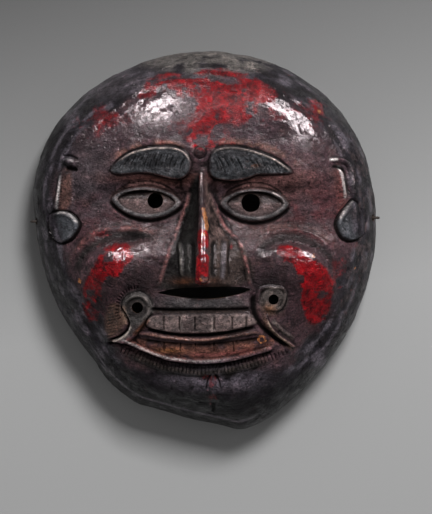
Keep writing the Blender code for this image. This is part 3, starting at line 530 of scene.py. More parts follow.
def fine_carving(x, y):
    """Small cuts that only show close to: brow hairs, fringes round the mouth and cut marks on the scroll."""
    chance = np.random.default_rng(7)
    height = np.zeros(x.shape)
    for count in range(24):
        share = (count + 0.5) / 24
        foot = -57 + 44 * share + chance.uniform(-0.6, 0.6)
        lean = 5.5 - 3.0 * share
        rise = 7.0 + 5.0 * math.sin(math.pi * share)
        height += stroke(x, y, ((foot, 46.2), (foot + 0.35 * lean, 46.2 + rise * 0.5),
                                (foot + lean, 46.0 + rise)), 0.8, -0.8, 0.2)
    for count in range(26):
        share = (count + 0.5) / 26
        foot = 9.5 + 45 * share + chance.uniform(-0.6, 0.6)
        lean = -6.5 + 4.0 * share
        rise = 14.0 - 8.5 * share
        height += stroke(x, y, ((foot, 44.0), (foot + 0.35 * lean, 44.0 + rise * 0.5),
                                (foot + lean, 43.5 + rise)), 0.8, -0.8, 0.2)
    # Fringe of short cuts under the lower lip
    lip = drawn_curve(LOWER_LIP + ((58, -66),), steps=5)
    run = np.concatenate(([0.0], np.cumsum(np.hypot(*np.diff(lip, axis=0).T))))
    for place in np.arange(4.0, run[-1] - 3.0, 2.5):
        foot_x = float(np.interp(place, run, lip[:, 0]))
        foot_y = float(np.interp(place, run, lip[:, 1])) - 4.6
        lean = 0.03 * foot_x + chance.uniform(-0.3, 0.3)
        height += stroke(x, y, ((foot_x, foot_y), (foot_x + lean * 0.5, foot_y - 2.4),
                                (foot_x + lean, foot_y - 4.6)), 0.9, -0.9, 0.25)
    # Short cuts that ring the left scroll, and slanting cuts on the cheek fold beside it
    for count in range(15):
        angle = math.radians(88 + 122 * count / 14)
        start, end = ((LEFT_SCROLL[0] + reach * math.cos(angle), LEFT_SCROLL[1] + reach * math.sin(angle))
                      for reach in (11.4, 15.0))
        middle = ((start[0] + end[0]) / 2, (start[1] + end[1]) / 2)
        height += stroke(x, y, (start, middle, end), 0.9, -0.9, 0.25)
    for count in range(12):
        foot = -43.0 - 2.0 * count
        height += stroke(x, y, ((-66, foot - 1.5), (-61, foot), (-56, foot + 1.5)), 0.9, -0.45, 0.3)
    # Fine ribs on the long ridges of the ears
    for count in range(14):
        foot = 44.0 - 1.8 * count
        height += stroke(x, y, ((-97.5 - 0.1 * count, foot), (-95.5 - 0.1 * count, foot + 0.6),
                                (-93.5 - 0.1 * count, foot + 1.0)), 0.7, -0.5, 0.3)
    return height


def contour_streaks(x, y, share, cell, seed):
    """Long streaks that follow the outline of the mask, between -1 and 1."""
    return grain_noise(np.arctan2(y, x) * 22.0, share * 108.0, x * 0.0, cell, seed)


def surface_wear(x, y, z, share):
    """Dents, tool facets and wrinkled lacquer: nearly all of it sunk below the smooth form."""
    broad = grain_noise(x, y, z, 11.0, 1)
    dents = grain_noise(x, y, z, 5.2, 2)
    wrinkles = grain_noise(x, y, z, 2.3, 3)
    pits = np.clip(grain_noise(x, y, z, 3.1, 4) - 0.55, 0.0, 1.0)
    ripples = contour_streaks(x, y, share, 2.4, 5) * smooth((share - 0.70) / 0.12)
    return (0.36 * (broad - 0.6) + 0.20 * (dents - 0.6) + 0.09 * (wrinkles - 0.6) + 0.26 * (ripples - 0.6)
            - 1.0 * pits)


def side_section():
    """Section from the crown of the dome down to the rim: share of the girth, share of the radius, height."""
    angle = np.linspace(0.0, math.pi / 2.0, 600)
    radius = np.append(np.sin(angle) ** (2.0 / SQUARENESS), 1.0)
    height = np.append(PLUMB + DOME * np.cos(angle) ** (2.0 / SQUARENESS), 0.0)
    mean_reach = sum(reach for _, reach in OUTLINE) / len(OUTLINE)
    girth = np.concatenate(([0.0], np.cumsum(np.hypot(np.diff(radius) * mean_reach, np.diff(height)))))
    return girth / girth[-1], radius, height


def rim_radius(angle):
    """Radius of the rim by angle, on a closed smooth curve through the outline's points."""
    turns = np.array([point[0] for point in OUTLINE], float)
    radii = np.array([point[1] for point in OUTLINE], float)
    turns = np.concatenate((turns[-3:] - 360.0, turns, turns[:3] + 360.0))
    radii = np.concatenate((radii[-3:], radii, radii[:3]))
    slope = np.gradient(radii, turns)
    place = np.degrees(angle) % 360.0
    at = np.clip(np.searchsorted(turns, place, side="right") - 1, 0, len(turns) - 2)
    width = turns[at + 1] - turns[at]
    share = (place - turns[at]) / width
    return ((1 + 2 * share) * (1 - share) ** 2 * radii[at] + share * (1 - share) ** 2 * width * slope[at]
            + share ** 2 * (3 - 2 * share) * radii[at + 1] + share ** 2 * (share - 1) * width * slope[at + 1])


def dome_sheet(steps):
    """A square net wrapped over the dome: plan places, heights and share of the radius."""
    line = np.linspace(-1.0, 1.0, steps + 1)
    a, b = np.meshgrid(line, line)
    u = a * np.sqrt(1.0 - b * b / 2.0)
    v = b * np.sqrt(1.0 - a * a / 2.0)
    angle = np.arctan2(v, u)
    girth, radius, height = side_section()
    out = np.hypot(u, v)
    share = np.interp(out, girth, radius)
    reach = rim_radius(angle) * share
    return reach * np.cos(angle), reach * np.sin(angle), np.interp(out, girth, height), share


def outward(points):
    """Unit normals of a net of points."""
    along_rows = np.gradient(points, axis=1)
    along_columns = np.gradient(points, axis=0)
    normals = np.cross(along_rows, along_columns)
    return normals / np.linalg.norm(normals, axis=2, keepdims=True)


def held_at_rim(share):
    """Forms die away towards the rim, which stays plain."""
    return 1.0 - smooth((share - 0.86) / 0.12)


def front_points(steps):
    """The carved and worn outer surface, in metres."""
    x, y, z, share = dome_sheet(steps)
    z = z + (big_forms(x, y) + hand_work(x, y)) * held_at_rim(share)
    points = np.stack((x, y, z), axis=2)
    cut_depth = (carving(x, y) + fine_carving(x, y)) * held_at_rim(share * 0.97)
    cut_depth += surface_wear(x, y, z, share)
    on_rim = z < 0.5
    points = points + outward(points) * cut_depth[:, :, None]
    points[:, :, 2] = np.where(on_rim, 0.0, np.maximum(points[:, :, 2], 0.3))
    return points * FULL


def hollow_points(steps):
    """The hollow behind the face, with the gouge marks of its maker left in it."""
    x, y, z, share = dome_sheet(steps)
    forms = big_forms(x, y) * held_at_rim(share)
    passes = max(1, steps // 48)
    for _ in range(2 * passes):
        low = forms.copy()
        low[1:-1, 1:-1] = np.minimum.reduce((forms[1:-1, 1:-1], forms[:-2, 1:-1], forms[2:, 1:-1],
                                             forms[1:-1, :-2], forms[1:-1, 2:]))
        forms = low
    for _ in range(8 * passes * passes):
        forms[1:-1, 1:-1] = (4.0 * forms[1:-1, 1:-1] + forms[:-2, 1:-1] + forms[2:, 1:-1] + forms[1:-1, :-2]
                             + forms[1:-1, 2:]) / 8.0
    points = np.stack((x, y, z + forms), axis=2) * FULL
    lean = grain_noise(x, y, z, 26.0, 11) * 0.9
    row = np.floor((y + 3.0 * lean) / 13.0)
    across = np.abs(((x + row * 3.7 + 2.5 * lean) / 8.5) % 1.0 - 0.5) * 2.0
    along = np.abs(((y + 3.0 * lean) / 13.0) % 1.0 - 0.5) * 2.0
    gouges = (0.0009 * across ** 2 + 0.0006 * along ** 4) * held_at_rim(share)
    sunk = points - outward(points) * (WALL + gouges[:, :, None])
    inwards = points[:, :, :2] / np.linalg.norm(points[:, :, :2], axis=2, keepdims=True).clip(1e-6)
    on_rim = points.copy()
    on_rim[:, :, :2] -= inwards * WALL
    on_rim[:, :, 2] = 0.0
    border = np.zeros(share.shape, bool)
    border[0, :] = border[-1, :] = border[:, 0] = border[:, -1] = True
    sunk[border] = on_rim[border]
    sunk[:, :, 2] = np.maximum(sunk[:, :, 2], 0.0)
    return sunk


def border_loop(steps):
    """Net numbers of the border, anticlockwise from the low corner."""
    side = steps + 1
    bottom = list(range(0, steps))
    right = [row * side + steps for row in range(0, steps)]
    top = [steps * side + column for column in range(steps, 0, -1)]
    left = [row * side for row in range(steps, 0, -1)]
    return bottom + right + top + left


def net_faces(steps, first, flip):
    """Square faces of a net whose points start at a number."""
    side = steps + 1
    faces = []
    for row in range(steps):
        for column in range(steps):
            low = first + row * side + column
            face = (low, low + 1, low + side + 1, low + side)
            faces.append(face[::-1] if flip else face)
    return faces


def shell_object():
    """The whole shell as one closed mesh: front, hollow and the flat rim between them."""
    front = front_points(FRONT_STEPS)
    hollow = hollow_points(HOLLOW_STEPS)
    front_border = border_loop(FRONT_STEPS)
    hollow_border = border_loop(HOLLOW_STEPS)
    first = (FRONT_STEPS + 1) ** 2
    faces = net_faces(FRONT_STEPS, 0, False)
    front_count = len(faces)
    faces += net_faces(HOLLOW_STEPS, first, True)
    finer = FRONT_STEPS // HOLLOW_STEPS
    for number, inner in enumerate(hollow_border):
        following = first + hollow_border[(number + 1) % len(hollow_border)]
        outer = [front_border[(number * finer + step) % len(front_border)] for step in range(finer + 1)]
        for a, b in zip(outer[:-1], outer[1:]):
            faces.append((a, first + inner, b))
        faces.append((outer[-1], first + inner, following))
    mesh = bpy.data.meshes.new("carved mask")
    mesh.from_pydata(np.vstack((front.reshape(-1, 3), hollow.reshape(-1, 3))), [], faces)
    slots = np.ones(len(faces), np.int32)
    slots[:front_count] = 0
    mesh.polygons.foreach_set("material_index", slots)
    mesh.update()
    made = bpy.data.objects.new("carved_mask", mesh)
    bpy.context.collection.objects.link(made)
    return made


bpy.ops.object.select_all(action="DESELECT")
mask = shell_object()
for title in ("lacquered front", "bare back"):
    mask.data.materials.append(bpy.data.materials.new(title))
front_finish, back_finish = mask.data.materials[0], mask.data.materials[1]
bpy.context.view_layer.objects.active = mask
mask.select_set(True)
thinning = mask.modifiers.new("thin", "DECIMATE")
thinning.ratio = FINISHED_TRIANGLES / (2.0 * FRONT_STEPS ** 2 + 2.0 * HOLLOW_STEPS ** 2)
bpy.ops.object.modifier_apply(modifier="thin")


# Holes drilled and sawn right through the shell: pupils, mouth corners, the slit under the nose
# and the tie holes.

LEFT_PUPIL = 0.0105
RIGHT_PUPIL = 0.0125
LEFT_CORNER_HOLE = 0.0075
RIGHT_CORNER_HOLE = 0.0068
NOSTRIL_SLIT_WIDTH = 0.063
NOSTRIL_SLIT_GAP = 0.0078
TIE_HOLE = 0.0048
TIE_HEIGHT = 0.037
DRILL_LOW = 0.25 * MASK_DEPTH
DRILL_HIGH = 1.25 * MASK_DEPTH


def cut(target, cutter):
    """Takes a cutter's shape out of a piece and throws the cutter away."""
    bpy.ops.object.select_all(action="DESELECT")
    cutter.data.materials.append(back_finish)
    bpy.context.view_layer.objects.active = target
    modifier = target.modifiers.new("cut", "BOOLEAN")
    modifier.operation = "DIFFERENCE"
    modifier.solver = "EXACT"
    modifier.material_mode = "TRANSFER"
    modifier.object = cutter
    bpy.ops.object.modifier_apply(modifier="cut")
    bpy.data.objects.remove(cutter, do_unlink=True)


def drill(name, place_mm, bore):
    """A round drill straight down through the shell."""
    middle = (place_mm[0] * FULL[0], place_mm[1] * FULL[1], (DRILL_LOW + DRILL_HIGH) / 2.0)
    bpy.ops.mesh.primitive_cylinder_add(vertices=24, radius=bore / 2.0, depth=DRILL_HIGH - DRILL_LOW,
                                        location=middle)
    bpy.context.object.name = name
    return bpy.context.object


def slit_cutter():
    """Crescent saw cut through the shell under the nose, a little higher at the viewer's right."""
    steps = 14
    half = NOSTRIL_SLIT_WIDTH / 2.0
    middle = 0.3 * FULL[0]
    level = -33.8 * FULL[1]
    slant = 0.019 * NOSTRIL_SLIT_WIDTH
    arch = 0.36 * NOSTRIL_SLIT_GAP
    belly = NOSTRIL_SLIT_GAP - arch
    top = []
    bottom = []
    for number in range(steps + 1):
        share = -1.0 + 2.0 * number / steps
        along = middle + half * share
        rise = level + slant * share
        top.append((along, rise + arch * (1.0 - share ** 4)))
        if 0 < number < steps:
            bottom.append((along, rise - belly * (1.0 - share ** 2) * (1.0 + 0.25 * share)))
    ring = [top[0]] + bottom + top[:0:-1]
    points = [(x, y, z) for z in (DRILL_LOW, DRILL_HIGH) for x, y in ring]
    count = len(ring)
    faces = [tuple(range(count - 1, -1, -1)), tuple(range(count, 2 * count))]
    for number in range(count):
        following = (number + 1) % count
        faces.append((number, following, count + following, count + number))
    mesh = bpy.data.meshes.new("nostril slit")
    mesh.from_pydata(points, [], faces)
    cutter = bpy.data.objects.new("nostril slit", mesh)
    bpy.context.collection.objects.link(cutter)
    return cutter


def tie_axis(side, y_mm):
    """Where a tie hole opens in the outer wall, and the wall's outward direction there."""
    girth, radius, height = side_section()
    level = TIE_HEIGHT / FULL[2]
    share = float(np.interp(-level, -height, radius))
    above = float(np.interp(-(level + 2.0), -height, radius))
    reach = 0.0
    for angle in np.linspace(-0.5, 0.5, 401):
        turn = angle if side > 0 else math.pi - angle
        edge = float(rim_radius(np.array([turn]))[0]) * share
        if abs(edge * math.sin(turn) - y_mm) < 0.4:
            reach = edge * math.cos(turn)
    slope = math.atan2(abs(reach) * (share - above) / share, 2.0)
    mouth = Vector((reach * FULL[0], y_mm * FULL[1], TIE_HEIGHT))
    return mouth, Vector((side * math.cos(slope), 0.0, math.sin(slope)))


def tie_hole(name, side, y_mm):
    """A small drill through the side wall, square to it."""
    mouth, out = tie_axis(side, y_mm)
    length = WALL * 2.6
    bpy.ops.mesh.primitive_cylinder_add(vertices=16, radius=TIE_HOLE / 2.0, depth=length,
                                        location=mouth - out * WALL * 0.5)
    cutter = bpy.context.object
    cutter.name = name
    cutter.rotation_euler = out.to_track_quat("Z", "Y").to_euler()
    return cutter


for name, place_mm, bore in (("left pupil", (-32.3, 26.0), LEFT_PUPIL),
                             ("right pupil", (30.9, 24.6), RIGHT_PUPIL),
                             ("left mouth corner", (-43.9, -44.6), LEFT_CORNER_HOLE),
                             ("right mouth corner", (45.8, -39.3), RIGHT_CORNER_HOLE)):
    cut(mask, drill(name, place_mm, bore))
cut(mask, slit_cutter())
cut(mask, tie_hole("right tie hole", 1, 15.3))
cut(mask, tie_hole("left tie hole", -1, 12.8))


# Paint, wear and dirt, with painted light and shade, laid on the finished surface point by point, from the
# ground colours up.

count = len(mask.data.vertices)
places = np.empty(count * 3, np.float32)
mask.data.vertices.foreach_get("co", places)
places = places.reshape(-1, 3).astype(float)
x, y, z = (places / FULL).T
share = np.hypot(x, y) / rim_radius(np.arctan2(y, x))

edges = np.empty(len(mask.data.edges) * 2, np.int32)
mask.data.edges.foreach_get("vertices", edges)
edges = edges.reshape(-1, 2)
neighbours = np.bincount(edges.ravel(), minlength=count).clip(1)

normals = np.empty(count * 3, np.float32)
mask.data.vertex_normals.foreach_get("vector", normals)
normals = normals.reshape(-1, 3).astype(float)


def spread(values, passes):
    """Averages values with those of the points beside them."""
    out = values.astype(float)
    for _ in range(passes):
        total = (np.bincount(edges[:, 0], out[edges[:, 1]], count)
                 + np.bincount(edges[:, 1], out[edges[:, 0]], count))
        out = 0.5 * out + 0.5 * total / neighbours
    return out


def proud(passes):
    """How far each point stands out of the surface round it, in millimetres along the normal."""
    around_it = np.stack([spread(places[:, axis], passes) for axis in range(3)], axis=1)
    return np.einsum("ij,ij->i", places - around_it, normals) * 1000.0


def zone(name, values):
    """Stores one value for each point of the mask's mesh."""
    layer = mask.data.attributes.new(name, "FLOAT", "POINT")
    layer.data.foreach_set("value", np.clip(values, 0.0, 1.0).astype(np.float32))


def tone(red, green, blue):
    """A paint matched on a scale of 255, as the linear colour that a shader takes."""
    level = np.array((red, green, blue), float) / 255.0
    return np.where(level > 0.04045, ((level + 0.055) / 1.055) ** 2.4, level / 12.92)


def mottled(cell, seed):
    """Blotches of three sizes, mostly between 0 and 1."""
    lumps = grain_noise(x, y, z, cell, seed) + 0.55 * grain_noise(x, y, z, cell / 2.1, seed + 50)
    return 0.5 + 0.55 * (lumps + 0.35 * grain_noise(x, y, z, cell / 4.3, seed + 90))


paint = np.tile(tone(79, 59, 64), (count, 1))


def brushed(colour, where):
    """Lays a colour over the paint so far, by a share at each point."""
    held = np.clip(where, 0.0, 1.0)[:, None]
    paint[:] = paint * (1.0 - held) + tone(*colour) * held


def filled(points, soft=2.0):
    """The inside of a drawn loop, with an edge as soft as asked."""
    return pad(x, y, points, 1.0, soft)


def lined(points, reach, taper=0.15):
    """A painted line along a drawn curve."""
    return stroke(x, y, points, reach, 1.0, taper)


def spot(middle, reach, share):
    """A soft oval spot on the plan."""
    return mound(x, y, middle, reach, share)


broad, middling, small = mottled(24.0, 21), mottled(9.0, 22), mottled(4.0, 23)
streaks = 0.5 + 0.5 * grain_noise(x * 0.35, y * 1.6, z, 6.0, 24)

# Ground: purple brown on the forehead, browner and redder towards the temples and below the eyes
brushed((66, 52, 57), smooth((middling - 0.45) / 0.3) * 0.7)
brushed((100, 74, 72), smooth((small - 0.55) / 0.3) * 0.45)
brushed((72, 66, 70), spot((-78, 40), (26, 34), 0.8) * smooth((broad - 0.2) / 0.3))
brushed((92, 50, 54), (spot((72, 20), (26, 24), 0.75) + spot((-62, 6), (26, 14), 0.6)
                       + spot((58, 8), (26, 10), 0.6)) * smooth((middling - 0.3) / 0.3))
brushed((62, 43, 42), spot((-36, 4), (28, 9), 0.85) + spot((40, 8), (32, 11), 0.9))
brushed((54, 40, 46), spot((10, 72), (76, 18), 0.85) * smooth((streaks - 0.1) / 0.4))
brushed((98, 64, 58), spot((-20, 40), (16, 5), 0.8) + spot((30, 41), (34, 4.5), 0.8)
        + spot((-42, 41), (26, 3.5), 0.7))
brushed((118, 84, 82), spot((54, 37), (17, 10), 0.85))

# Nose: greenish black flanks, browner on the viewer's right; the left flank's near black is partly painted
# shade and the right flank's paler brown partly painted light, for light from the right
brushed((42, 42, 40), filled(((-3.5, 42), (-9.5, 33), (-17, 8), (-26, -20), (-30, -32), (-4, -30), (-4.5, -6),
                              (-3, 20)), 3.0))
brushed((116, 95, 90), filled(((0.8, 40), (4, 31), (12, 11), (22, -4), (28, -26), (4, -29), (3.4, -6),
                               (1.2, 22)), 3.0))
brushed((86, 84, 80), lined(NOSE_WING, 1.5) * 0.7)
brushed((60, 51, 47), filled(((5, -3), (14, 0), (23, -1), (30, -12), (32, -27), (5, -29)), 3.0) * 0.9)
brushed((122, 114, 120), lined(((13.4, 0.5), (12.8, -14), (11.8, -27.5)), 2.4) * 0.85)
brushed((60, 49, 51), lined(((-1.6, 50), (-1.4, 36), (-1.3, 22)), 3.0) * 0.9)
# Painted highlight: a thin pale line down the bridge of the nose.
brushed((190, 178, 180), lined(((-1.9, 45), (-1.5, 34), (-1.5, 22)), 0.9, 0.05) * 0.8)
brushed((90, 52, 30), spot((-13, -27), (9, 2.5), 0.8) + spot((6, -26.5), (5, 2), 0.6))

# Lines rubbed to the brown ground: beside the nose, over the brows and along the cheek rolls
worn_line = smooth((small - 0.15) / 0.3)
for points in (LEFT_CREASE, RIGHT_CREASE[:7] + ((31, -31),)):
    brushed((148, 100, 98), lined(points, 2.0) * 0.85 * worn_line)
for points in (((-62, 52), (-52, 59), (-37, 63.4), (-20, 63.4), (-9, 58)),
               ((5, 61), (14, 64.6), (28, 63.8), (44, 60), (58, 52), (64, 46))):
    brushed((128, 92, 82), lined(points, 3.6) * 0.7 * worn_line)
brushed((138, 88, 84), lined(((-88, -13), (-78, 1), (-64, 7), (-46, 7.5), (-30, 3)), 3.4) * 0.6 * worn_line)
brushed((112, 76, 72), lined(((35, 4), (46, 8), (60, 8.8), (75, 5), (88, -6)), 3.4) * 0.6 * worn_line)

# Cheeks: dark below and inside, grey green in the arcs
for side, inner in ((-1, -42), (1, 47)):
    brushed((40, 31, 33), spot((inner, -26), (20, 13), 1.0))
    brushed((52, 26, 29), spot((side * 74, -46), (14, 18), 0.8))
brushed((46, 46, 44), lined(((-86, -26), (-83, -14.6), (-77.5, -7), (-69, -1.5), (-60, 2), (-49, 4),
                             (-39, 3.3), (-29, -1)), 4.2) * 0.85)
brushed((50, 46, 46), lined(((33.9, -18), (37.5, -6), (43.8, -0.7), (52.5, 2), (62, 2), (69, -0.7),
                             (77, -5.3), (84.5, -12.6), (89, -22)), 4.6) * 0.85)

# Muzzle and mouth: grey lip, grey brown teeth, rust brown below, with painted shade in the gaps above and
# below the upper teeth and a painted highlight along the rim of the lower lip
brushed((60, 57, 58), smooth(1.6 - 1.5 * np.hypot((x + 2) / 46, (y + 43) / 10)))
brushed((104, 92, 90), filled(UPPER_TEETH, 1.6) * (0.75 + 0.25 * small))
# Painted shade in the gap above the upper teeth.
brushed((42, 34, 31), lined(((-38, -46.8), (-20, -47.4), (0, -47.2), (18, -46.6), (34, -46)), 3.2, 0.1))
# Painted shade in the gap below the upper teeth.
brushed((30, 25, 23), lined(((-39, -58.8), (-22, -62.3), (-5, -63.2), (14, -61.8), (37, -57.2)), 1.8))
brushed((112, 74, 64), filled(((-42, -65), (-22, -67.5), (-3, -68.6), (16, -67), (40, -64.4), (48, -67.6),
                               (37, -72), (17, -76.4), (-3, -78), (-22, -76.4), (-33, -73.4), (-47, -67.6)),
                              2.0) * smooth((mottled(6.0, 31) - 0.1) / 0.4))
brushed((40, 31, 28), lined(((-42, -66.6), (-24, -69), (-3, -70.2), (16, -68.6), (42, -65.6)), 2.6) * 0.8)
brushed((142, 104, 92), lined(LIP_EDGE, 1.6) * 0.8)
brushed((132, 78, 66), lined(moved(LOWER_LIP, 1.8), 2.2) * 0.8 * worn_line)
brushed((150, 98, 58), spot((-23.5, -73), (8, 1.8), 0.8))
brushed((150, 84, 80), lined(((-12, -75.6), (6, -75.6), (24, -74), (36, -71.6)), 2.2) * 0.7)
# Painted highlight along the raised rim of the lower lip.
brushed((182, 174, 172), lined(LOWER_LIP[:-2], 0.8) * 0.85)
brushed((160, 104, 74), lined(((-36, -50.5), (-41, -57), (-46, -62)), 2.2) * 0.8)
for place in TEETH_GAPS:
    brushed((48, 41, 38), lined(((place, -49.5), (place, -59.5)), 0.8) * 0.7)
for place in (-15.2, -6.6, 5.6):
    brushed((150, 138, 134), lined(((place, -49.5), (place, -60.5)), 0.9) * 0.7 * worn_line)

# Scrolls at the mouth's corners: grey paint rubbed on the edges, brown on the folds of cheek, painted
# highlights along the raised edges of the tails and painted shade in the channel at the viewer's right
brushed((84, 80, 78), smooth((12.5 - away_from(x, y, LEFT_SCROLL)) / 3.0))
brushed((78, 75, 74), filled(((-53, -45), (-50.4, -51), (-49.4, -56), (-51.6, -61), (-57, -65.4), (-62, -67),
                              (-52, -66), (-44, -59), (-38, -51.6), (-36, -45)), 2.0) * 0.8)
brushed((52, 47, 46), smooth((8.2 - away_from(x, y, (-44.0, -44.2))) / 2.5) * 0.75)
brushed((86, 56, 44), lined(((-37, -52), (-40.5, -57.5), (-45, -61.5), (-48, -63)), 3.0) * 0.8)
# Painted highlight along the raised edge of the left tail.
brushed((226, 214, 204), lined(((-48.4, -56), (-50.6, -61), (-56.0, -65.4), (-62, -67.6)), 1.3) * 0.9)
brushed((98, 76, 64), filled(((-56, -43), (-52, -52), (-54, -58), (-59, -63), (-66, -65), (-66, -54),
                              (-62, -43)), 4.0) * 0.8)
brushed((150, 124, 106), lined(((-53.6, -43), (-52.2, -50), (-52.0, -57)), 3.0) * 0.5 * worn_line)
brushed((78, 72, 69), smooth((11.0 - away_from(x, y, (45.8, -39.4))) / 3.0) * 0.9)
brushed((128, 92, 70), spot((43, -46), (4, 3.4), 0.9))
brushed((128, 100, 88), lined(((38.5, -48), (41.6, -57), (47.6, -64), (55, -69.4), (62, -73)), 2.6) * 0.8)
# Painted highlight along the raised edge at the viewer's right.
brushed((196, 172, 152), lined(((41.6, -52), (44.4, -58.6), (50, -64.4), (57.9, -70)), 1.2) * 0.8)
brushed((104, 96, 92), lined(((44, -52), (52, -60.6), (60, -66.4)), 2.6) * 0.8)
# Painted shade in the channel that runs down from the right scroll.
brushed((30, 26, 24), lined(CHANNEL, 2.8))

# Eyes: grey rims, pale grey below the pupils, painted shade in dark brown under the upper lids and painted
# shade in the deep line under each eye
for middle, half, above, below, turn in EYES:
    rim = filled(almond(middle, half, above, below, turn), 1.4)
    ball = filled(almond(middle, half - 3.4, above - 1.6, below - 2.4, turn), 1.2)
    rise = (y - middle[1]) * math.cos(turn) - (x - middle[0]) * math.sin(turn)
    lid = filled(almond(middle, half + 1.5, above + 4.0, below, turn), 2.0) * smooth((rise + 1.0) / 3.0)
    brushed((128, 94, 90), lid * (1.0 - rim) * 0.8)
    brushed((88, 86, 87), rim)
    brushed((100, 84, 83), ball)
    # Painted shade: the upper part of each eyeball darkened under its lid.
    brushed((44, 36, 33), ball * smooth((rise - 0.1) / 0.8) * (0.8 + 0.2 * small))
    # Painted shade in the deep line under each eye.
    brushed((26, 21, 20), lined(almond(middle, half + 1.8, above + 2.0, below + 1.7, turn)[12:], 2.0, 0.06))

# Brows, boss and ears: greenish black, worn grey, with painted shade in the grooves over the brows and under
# the ear hooks, and painted highlights on the brows' upper rims, the top of the boss, the right eye's upper
# lid, the ear ridges and the lobes' upper edges
for brow, first, last in ((LEFT_BROW, 1, 8), (RIGHT_BROW, 1, 9)):
    brushed((54, 56, 59), filled(brow, 1.4))
    brushed((92, 94, 98), filled(brow, 1.4) * 0.5 * smooth((mottled(2.4, 33) - 0.45) / 0.3))
    brushed((104, 62, 34), filled(brow, 1.4) * spot((31.8, 49.4), (4, 2), 0.7) * smooth((small - 0.45) / 0.2))
    # Painted shade in the groove over each brow's upper edge.
    brushed((14, 11, 11), lined(moved(brow[first:last], 1.5), 1.3, 0.06) * 0.9)
    # Painted highlight along each brow's upper rim.
    brushed((196, 182, 176), lined(moved(brow[first:last], -0.5), 0.9, 0.1) * 0.9)
brushed((58, 44, 46), smooth((3.8 - away_from(x, y, BOSS)) / 1.4) * 0.9)
# Painted highlight: a pale crescent on the top of the boss.
brushed((196, 184, 182), lined(((-6.4, 59.6), (-2.6, 61.4), (1.2, 59.6)), 0.9) * 0.8)
# Painted highlight: a glint on the right eye's upper lid.
brushed((206, 194, 192), lined(((44.7, 32.1), (50, 28.8), (53.9, 24.9)), 0.9) * 0.7)
for lobe in (LEFT_LOBE, RIGHT_LOBE):
    brushed((24, 20, 20), filled(grown(lobe, 1.7), 1.6))
    brushed((84, 87, 92), filled(lobe, 1.4) * (0.7 + 0.3 * small))
brushed((114, 82, 74), filled(((-95, 46), (-89, 46), (-88.5, 34), (-89, 24), (-94, 19.5), (-96.6, 21)), 3.0)
        * 0.8)
brushed((112, 62, 56), filled(((87, 47), (93, 46), (95, 36), (95.6, 27), (90, 17), (88, 30)), 7.0) * 0.55)
# Painted shade in the gouges under the ear hooks.
for points in (((-93.5, 49.5), (-84, 48)), ((84, 49), (90, 48.8), (94.4, 46))):
    brushed((20, 17, 17), lined(points, 2.6))
# Painted highlights: glints on the ear hooks, along the long ridges and on the lobes' upper edges.
for points in (((-95.9, 45), (-97.3, 32), (-99, 19)), ((-93.2, 54.1), (-90, 53.8), (-87.1, 52)),
               ((83.4, 53.6), (89.5, 53.8)), ((94.8, 53.2), (98.4, 50), (99.8, 40), (100, 32)),
               ((88.4, 50.0), (91.8, 44.0), (93.6, 36.0), (94.2, 27.0)),
               ((-99.3, 18.2), (-93, 18.4), (-87.5, 15.4), (-84, 11)),
               ((100.2, 27.5), (95, 21.5), (90.2, 14))):
    brushed((236, 230, 228), lined(points, 1.4, 0.1) * 0.9)

# Side band and jaw: nearly black; dusty and greyer at the crown, partly painted light where the crown faces
# up; a grey patch under the lip painted as a faint highlight; a painted highlight along the jaw's edge at the
# lower left and painted shade on the wall below it
rim_dark = smooth((share - 0.79 + 0.10 * (broad - 0.5)) / 0.07)
contour = contour_streaks(x, y, share, 2.2, 41)
brushed((43, 40, 46), rim_dark)
brushed((112, 105, 114), rim_dark * smooth((contour - 0.2) / 0.35) * 0.62)
brushed((20, 17, 19), rim_dark * smooth((-contour - 0.15) / 0.3) * 0.7)
brushed((21, 19, 23), smooth((-78.0 - y - 0.10 * np.abs(x)) / 8.0))
brushed((88, 74, 75), rim_dark * spot((112, 10), (30, 70), 0.75) * smooth((small - 0.5) / 0.25))
# A grey patch painted as a faint highlight on the chin.
brushed((128, 119, 130), spot((6, -90), (28, 8), 0.9) * smooth((middling - 0.1) / 0.4))
brushed((42, 38, 35), lined(moved(LOWER_LIP, -7.4), 6.4) * 0.95)
# Painted highlight: a thin lit line along the jaw's edge at the lower left.
brushed((120, 114, 122), hump((share - 0.940) / 0.010) * smooth((-66.0 - y) / 12.0)
        * smooth((40.0 - x) / 14.0) * 0.75)
# Painted shade: the wall below the jaw at the lower left, near black.
brushed((12, 11, 12), smooth((share - 0.955) / 0.02) * smooth((-70.0 - y) / 12.0) * smooth((30.0 - x) / 14.0))
# Dust at the crown, partly painted light where the crown faces up.
brushed((112, 107, 103), smooth((y - 106.0 - 0.004 * (x - 4.0) ** 2) / 9.0)
        * smooth(1.5 - np.abs(x - 4.0) / 62.0) * smooth((middling - 0.15) / 0.4))
brushed((82, 76, 82), smooth((y - 92.0) / 10.0) * spot((-62, 100), (40, 20), 0.7))

layer = mask.data.attributes.new("paint", "FLOAT_COLOR", "POINT")
layer.data.foreach_set("color", np.hstack((paint, np.ones((count, 1)))).astype(np.float32).ravel())

